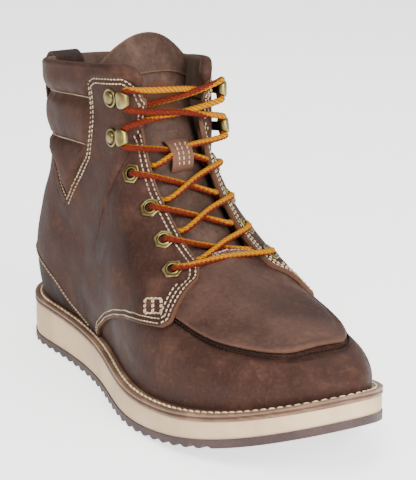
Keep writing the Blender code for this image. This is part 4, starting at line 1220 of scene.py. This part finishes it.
def tongueClear(point, clear):  # lift a point off the tongue's middle line if it lies too low
    along = np.linspace(0, tongue["last"], 240)
    middle = tonguePoint(along, 0 * along)
    i = int(np.argmin(np.hypot(middle[:, 0] - point[0], middle[:, 2] - point[2])))
    run = middle[min(i + 1, 239)] - middle[i - 1]
    out = unit(np.array([run[2], 0.0, -run[0]]))
    short = clear - (point - middle[i]) @ out
    return point + out * max(short, 0.0), out


def holeIn(frameOf):  # from the throat over the flap into the hole
    origin, inward, up, out = frameOf
    return [origin + inward * a + out * b for a, b in ((5.0, 2.3), (1.6, 1.9), (0.2, -1.2), (0.0, -4.5))]


def fromUnder(side, frameOf):  # from the hole's underside out past the throat's edge
    origin, inward, up, out = frameOf
    edge, edgeOut = throatEdge(side, origin[2] + 5.0)
    return [origin - out * 4.6 + inward * 1.0, edge - edgeOut * 4.6 - inward * 2.0, edge - edgeOut * 2.6 + inward * 2.4]


def roundHook(frameOf):  # under the hook's head, leaving on the other side of it
    origin, inward, up, out = frameOf
    return [origin + inward * a + up * b + out * c for a, b, c in hookTurn]


def hubOf(start, end, step):  # where two strands cross: one above, one below
    middle, out = tongueClear((start + end) / 2, lace["clear"])
    return middle + out * step


def overEdges(side, start, end, step):  # from a place on one flap over both throat edges to the other flap
    rise = end[2] - start[2]
    points = []
    for which, z in ((side, start[2] + 0.2 * rise), (-side, end[2] - 0.2 * rise)):
        edge, edgeOut = throatEdge(which, z)
        points.append(edge + edgeOut * lace["radius"])
    return [points[0], hubOf(points[0], points[1], step), points[1]]


def lacePaths():
    paths = {}
    left, right = holeIn(eyeletFrames[lateral][0]), holeIn(eyeletFrames[medial][0])
    middle = (left[0] + right[0]) / 2 + (eyeletFrames[lateral][0][3] + eyeletFrames[medial][0][3]) * 0.9
    paths["bar"] = left[::-1] + [middle] + right
    for side in (lateral, medial):
        step = -side * lace["cross"]
        for i in range(3):
            start, end = fromUnder(side, eyeletFrames[side][i]), holeIn(eyeletFrames[-side][i + 1])
            paths[f"cross{i + 1}_{side:+.0f}"] = start + [hubOf(start[-1], end[0], step)] + end
        start = fromUnder(side, eyeletFrames[side][3])
        first, second = roundHook(hookFrames[-side][0]), roundHook(hookFrames[side][1])
        entry = overEdges(side, start[-1], first[0], step)[1:]
        across = overEdges(-side, first[-1], second[0], step)
        edge, edgeOut = throatEdge(-side, lace["tuckZ"][side])
        leave = overEdges(side, second[-1], edge, step)[:2]
        tuck = [edge - edgeOut * 4.0 + (0.0, side * 2.0, 0.0), edge - edgeOut * 5.0 + (0.0, -side * 7.0, -2.0)]
        paths[f"upper_{side:+.0f}"] = start + entry + first + across + second + leave + tuck
    return paths


def laceMesh(paths):
    allPoints, allFaces, allCoords, total = [], [], [], 0.0
    turn = np.arange(lace["sides"]) * 2 * np.pi / lace["sides"]
    for name, points in paths.items():
        line, size = smoothLine(points, lace["step"])
        total += size
        run = unit(np.gradient(line, axis=0))
        up = np.array((0.05, 0.0, 1.0))
        sections = []
        for i, (p, r) in enumerate(zip(line, run)):  # the cord's gold side turns slowly back to the top
            above = np.cross(lace["face"], r)
            up = unit(up - r * (up @ r) + lace["relax"] * above * np.sign(above[2]))
            across = np.cross(r, up)
            twist = i * lace["step"] * lace["braidTurn"]
            ridge = 0.7 * np.cos(4 * turn + twist) + 0.3 * np.cos(4 * turn - twist)
            radius = lace["radius"] * (1 + lace["braid"] * ridge)
            sections.append(p + np.outer(np.cos(turn) * radius, across) + np.outer(np.sin(turn) * radius, up))
        start = len(allPoints)
        rows, cols = len(sections), lace["sides"]
        allPoints += [tuple(p) for p in toRow(np.array(sections).reshape(-1, 3))]
        end = (rows - 1) * cols
        caps = [range(cols)[::-1], range(end, end + cols)]
        allFaces += [tuple(start + i for i in ring) for ring in ringFaces(rows, cols, False) + caps]
        for i in range(rows - 1):
            low, high = i * lace["step"] / 10, (i + 1) * lace["step"] / 10
            for j in range(cols):
                allCoords += [(j / cols, low), ((j + 1) / cols, low), ((j + 1) / cols, high), (j / cols, high)]
        allCoords += [(0.5, 0.0)] * 2 * cols
    mesh = bpy.data.meshes.new("laces")
    mesh.from_pydata(allPoints, [], allFaces)
    mesh.uv_layers.new(name="braid").data.foreach_set("uv", np.array(allCoords, np.float32).ravel())
    mesh.shade_smooth()
    print("lace on the boot, mm:", round(total))
    return mesh


laceNodes = ["lace_bar"] + [f"lace_cross_{i}" for i in range(1, 6)]
makePiece("laceRun", laceMesh(lacePaths()), [cord], laceNodes)
print("lace made")

# Stitching

thread = {"pitch": 2.7, "length": 2.16, "thick": 0.9, "proud": 0.12, "edgeRows": (2.2, 4.6), "tabRow": 7.2,
          "lowRows": (1.9, 3.9), "heelRow": 2.0, "backRib": 0.99, "quietPitch": 2.3, "shortPitch": 2.4,
          "weltPitch": 4.4}


def stitchMesh():
    rows = (  # place along the stitch, radius, height
        (-0.5, 0.22, -0.55), (-0.42, 0.40, -0.15), (-0.2, 0.5, 0.12), (0.2, 0.5, 0.12), (0.42, 0.40, -0.15),
        (0.5, 0.22, -0.55),
    )
    turn = np.arange(6) * np.pi / 3
    points = [(x, r * math.cos(t), r * math.sin(t) + z) for x, r, z in rows for t in turn]
    faces = ringFaces(len(rows), 6, False) + [tuple(range(6)), tuple(range(30, 36))]
    return solidMesh("stitch", points, faces, {})


def evenly(path, pitch):  # the first three columns are the place
    path = np.array(path, float)
    run = runLength(path[:, :3])
    count = max(int(run[-1] / pitch), 2)
    at = (np.arange(count) + 0.5) * run[-1] / count
    return np.stack([np.interp(at, run, column) for column in path.T], -1)


def onSurface(surface, points):  # nearest places and normals, in millimetres
    found = [surface.find_nearest(Vector(p)) for p in toRow(points)]
    return np.array([f[0] for f in found]) / mm + bootOrigin, np.array([f[1] for f in found])


def insetLine(surface, path, distance, toward, edge=None):  # lines on the surface, set in from an edge
    points, normals = np.split(evenly(np.hstack(path), 1.2), 2, axis=1)
    normals = unit(normals)
    inward = unit(np.cross(normals, unit(np.gradient(points, axis=0))))
    inward *= np.sign(((toward - points) * inward).sum(-1).mean())
    line = onSurface(surface, points + inward * distance + normals * 1.2)[0]
    if edge is not None:
        clear = np.array([edge.find(p)[2] for p in line])
        line = line[clear > 0.7 * distance]
    gaps = np.where(np.linalg.norm(np.diff(line, axis=0), axis=1) > 4.0)[0] + 1
    return [run for run in np.split(line, gaps) if len(run) > 3]


def joined(*paths):
    return np.vstack([path[0] for path in paths]), np.vstack([path[1] for path in paths])


class Seams:
    def __init__(self):
        self.points, self.along, self.out = [], [], []

    def add(self, points, line, out):
        self.points += list(points)
        self.along += list(unit(np.gradient(line, axis=0)))
        self.out += list(out)

    def sew(self, surface, path, pitch=thread["pitch"]):
        line = evenly(path, pitch)
        places, out = onSurface(surface, line)
        self.add(places + out * thread["proud"], line, out)

    def sewInside(self, surface, path, distance, toward, edge=None, pitch=thread["pitch"]):
        for run in insetLine(surface, path, distance, toward, edge):
            self.sew(surface, run, pitch)

    def lay(self, path, pitch):  # stitches where the path's own points and normals put them
        line, out = np.split(evenly(np.hstack(path), pitch), 2, axis=1)
        self.add(line, line, unit(out))

    def finish(self, name, length, thick, finish):
        size = (length * mm, thick * mm, thick * mm)
        makePiece(name, setPieces(name, stitchMesh(), toRow(self.points), self.along, self.out, size, finish), [])


def levelLine(turn, z, lift):  # points and normals along a level
    height = heightAt(turn, z)
    return hide(turn, height, lift), hideNormal(turn, height)


seams, weltSeam, quietSeams, mocStitchAndShadeRow = Seams(), Seams(), Seams(), Seams()
weltX, weltY = edgePoint(*ribPlace(np.linspace(0, 2, 600)), 3.2)
weltSeam.sew(surfaceOf(welt), np.stack([weltX, weltY, weltTop(weltX)], -1), thread["weltPitch"])

# Bar tack on the tab
boxCorners = np.array(((182.5, 44.0, 68.4), (193.4, 38.8, 70.5), (199.5, 42.4, 63.6), (187.3, 46.7, 60.8)))
for side in (lateral, medial):
    surface, share = surfaceOf(quarters[side]), quarterShare(side)
    middle, heelMiddle = np.array([150.0, side * 35, 95.0]), np.array([60.0, side * 35, 95.0])

    def keyed(levels, backs):
        turn, height = quarterKeys(side, levels, backs)
        return panelLine(side, ribPlace(turn)[1], height)

    def bound(start, end, count, which):  # along the quarter's low edge or its top
        ribs = np.linspace(start, end, count)
        return panelLine(side, ribs, quarterBounds(side, ribs)[which])

    front = keyed(np.linspace(0.0, 1.0, 60), 0.0)
    throat = bound(float(flapFront(1.0)) + 0.002, 0.646, 120, 1)
    top = bound(0.648, float(quiltFront(1.0)), 60, 1)
    rear = keyed(np.linspace(1.0, share, 60), 1.0)
    veeRange = np.linspace(0.7526, 0.7700, 50)
    vee = panelLine(side, veeRange, underQuilt(side, veeRange))
    low = bound(0.592, 0.392, 90, 0)
    edge = pointTree(np.vstack([evenly(path[0], 0.8) for path in (front, throat, top, rear, vee, low)]))
    for distance in thread["edgeRows"]:
        seams.sewInside(surface, joined(front, throat, top, rear, vee), distance, middle, edge)
    seams.sewInside(surface, (front[0][6:44], front[1][6:44]), thread["tabRow"], middle, edge)
    for distance in thread["lowRows"]:
        quietSeams.sewInside(surface, low, distance, middle, edge, thread["quietPitch"])
    quietSeams.sewInside(surface, bound(0.625, 0.99, 90, 0), thread["heelRow"], heelMiddle, None, 2.6)
    back = np.full(40, thread["backRib"])
    levels = np.linspace(quarterBounds(side, back)[0][0] + 0.01, underQuilt(side, back)[0] - 0.01, 40)
    quietSeams.lay(panelLine(side, back, levels), 2.8)
    for line, start, rise in ((lineOne, 0.768, 0.15), (lineTwo, 0.757, 1.2)):
        ribs = np.linspace(start, 1.0, 90)
        quietSeams.lay(levelLine(turnOf(side, ribs), line(ribs), pad["thin"] + rise), thread["quietPitch"])
    ribs = np.linspace(0.772, 0.90, 60)
    quietSeams.lay(levelLine(turnOf(side, ribs), quiltLow(ribs) + 0.8, pad["thin"] + 0.6), thread["quietPitch"])
    box = boxCorners * (1.0, side, 1.0) + (1.0, side * 2.4, 2.2)
    box = box.mean(0) + (box - box.mean(0)) * 0.85
    for path in (box[[0, 1]], box[[1, 2]], box[[2, 3]], box[[3, 0]], (box[[0, 3]] + box[[1, 2]]) / 2):
        for shift in (-0.35, 0.35):
            seams.sew(surface, path + np.array([shift, 0.0, shift]), thread["shortPitch"])

across, apronSurface = np.linspace(-17, 21, 60), surfaceOf(apron)
for x in (189.6, 193.2):  # double row where the plug ends under the tongue
    row = np.stack([x - 0.006 * across**2, across, 91.0 - 0.012 * across**2], -1)
    quietSeams.sew(apronSurface, row, thread["shortPitch"])
apronTurns = np.linspace(-0.43, 0.43, 240)  # dark thread row under the plug's edge, also painted shade standing in for the crevice shadow there
mocStitchAndShadeRow.lay(levelLine(apronTurns, mocSeam(np.abs(apronTurns)) - 0.9, 0.4), thread["shortPitch"])
keeperSurface, keeperTop = surfaceOf(keeperPiece), keeperGrid(keeper["thick"])
for column in (5, 9, 14):
    seams.sew(keeperSurface, keeperTop[4:36, column], thread["shortPitch"])
seams.finish("seamStitches", thread["length"], thread["thick"], greyThread)
quietSeams.finish("quietStitches", 2.0, 0.7, greyThread)
mocStitchAndShadeRow.finish("mocStitches", 2.2, 1.0, darkThreadAndShade)
weltSeam.finish("weltStitches", 4.0, 1.3, creamThread)
print("stitches sewn")

# Floor, light and camera

stageLook = {"floor": 6.0, "distance": 0.95, "azimuth": 59.47, "elevation": 15.6, "centre": (151.0, 0.0, 90.0),
             "aimRight": 0.0105, "aimUp": -0.004, "lens": 133.2}

floorFinish = FinishKit("paleFloor").paint(
    Base_Color=srgb(240, 239, 237), Roughness=0.9, Emission_Color=(1.0, 1.0, 1.0, 1.0), Emission_Strength=1.7)
floorMesh = bpy.data.meshes.new("floor")
half = stageLook["floor"]
floorMesh.from_pydata([(-half, -half, 0), (half, -half, 0), (half, half, 0), (-half, half, 0)], [], [(0, 1, 2, 3)])
floorMesh.materials.append(floorFinish)
floorPiece = addObject("floor", floorMesh)

a, e = math.radians(stageLook["azimuth"]), math.radians(stageLook["elevation"])
back = Vector((math.sin(a) * math.cos(e), -math.cos(a) * math.cos(e), math.sin(e)))
right = Vector((math.cos(a), math.sin(a), 0.0))
up = back.cross(right)
centre = Vector(toRow(stageLook["centre"]))


def aim(thing, place, target):
    thing.location = place
    thing.rotation_euler = (target - place).to_track_quat("-Z", "Y").to_euler()


cameraData = bpy.data.cameras.new("camera")
cameraData.lens = stageLook["lens"]
camera = addObject("camera", cameraData)
aim(camera, centre + back * stageLook["distance"], centre + right * stageLook["aimRight"] + up * stageLook["aimUp"])
bpy.context.scene.camera = camera

lightRows = (  # name, right, up, toward the camera, size, power
    ("keyLight", -0.25, 0.95, 1.1, 0.7, 22.0),
    ("fillLight", 0.55, 0.2, 1.0, 0.6, 24.0),
    ("backLight", 0.2, 1.2, -0.7, 1.0, 9.0),
)
for name, toRight, toUp, near, size, power in lightRows:
    data = bpy.data.lights.new(name, "AREA")
    data.size, data.energy = size, power
    aim(addObject(name, data), centre + right * toRight + Vector((0, 0, toUp)) + back * near, centre)

world = bpy.data.worlds.new("paleWorld")
world.use_nodes = True
world.node_tree.nodes["Background"].inputs["Color"].default_value = (1.0, 0.985, 0.965, 1.0)
world.node_tree.nodes["Background"].inputs["Strength"].default_value = 0.5
bpy.context.scene.world = world
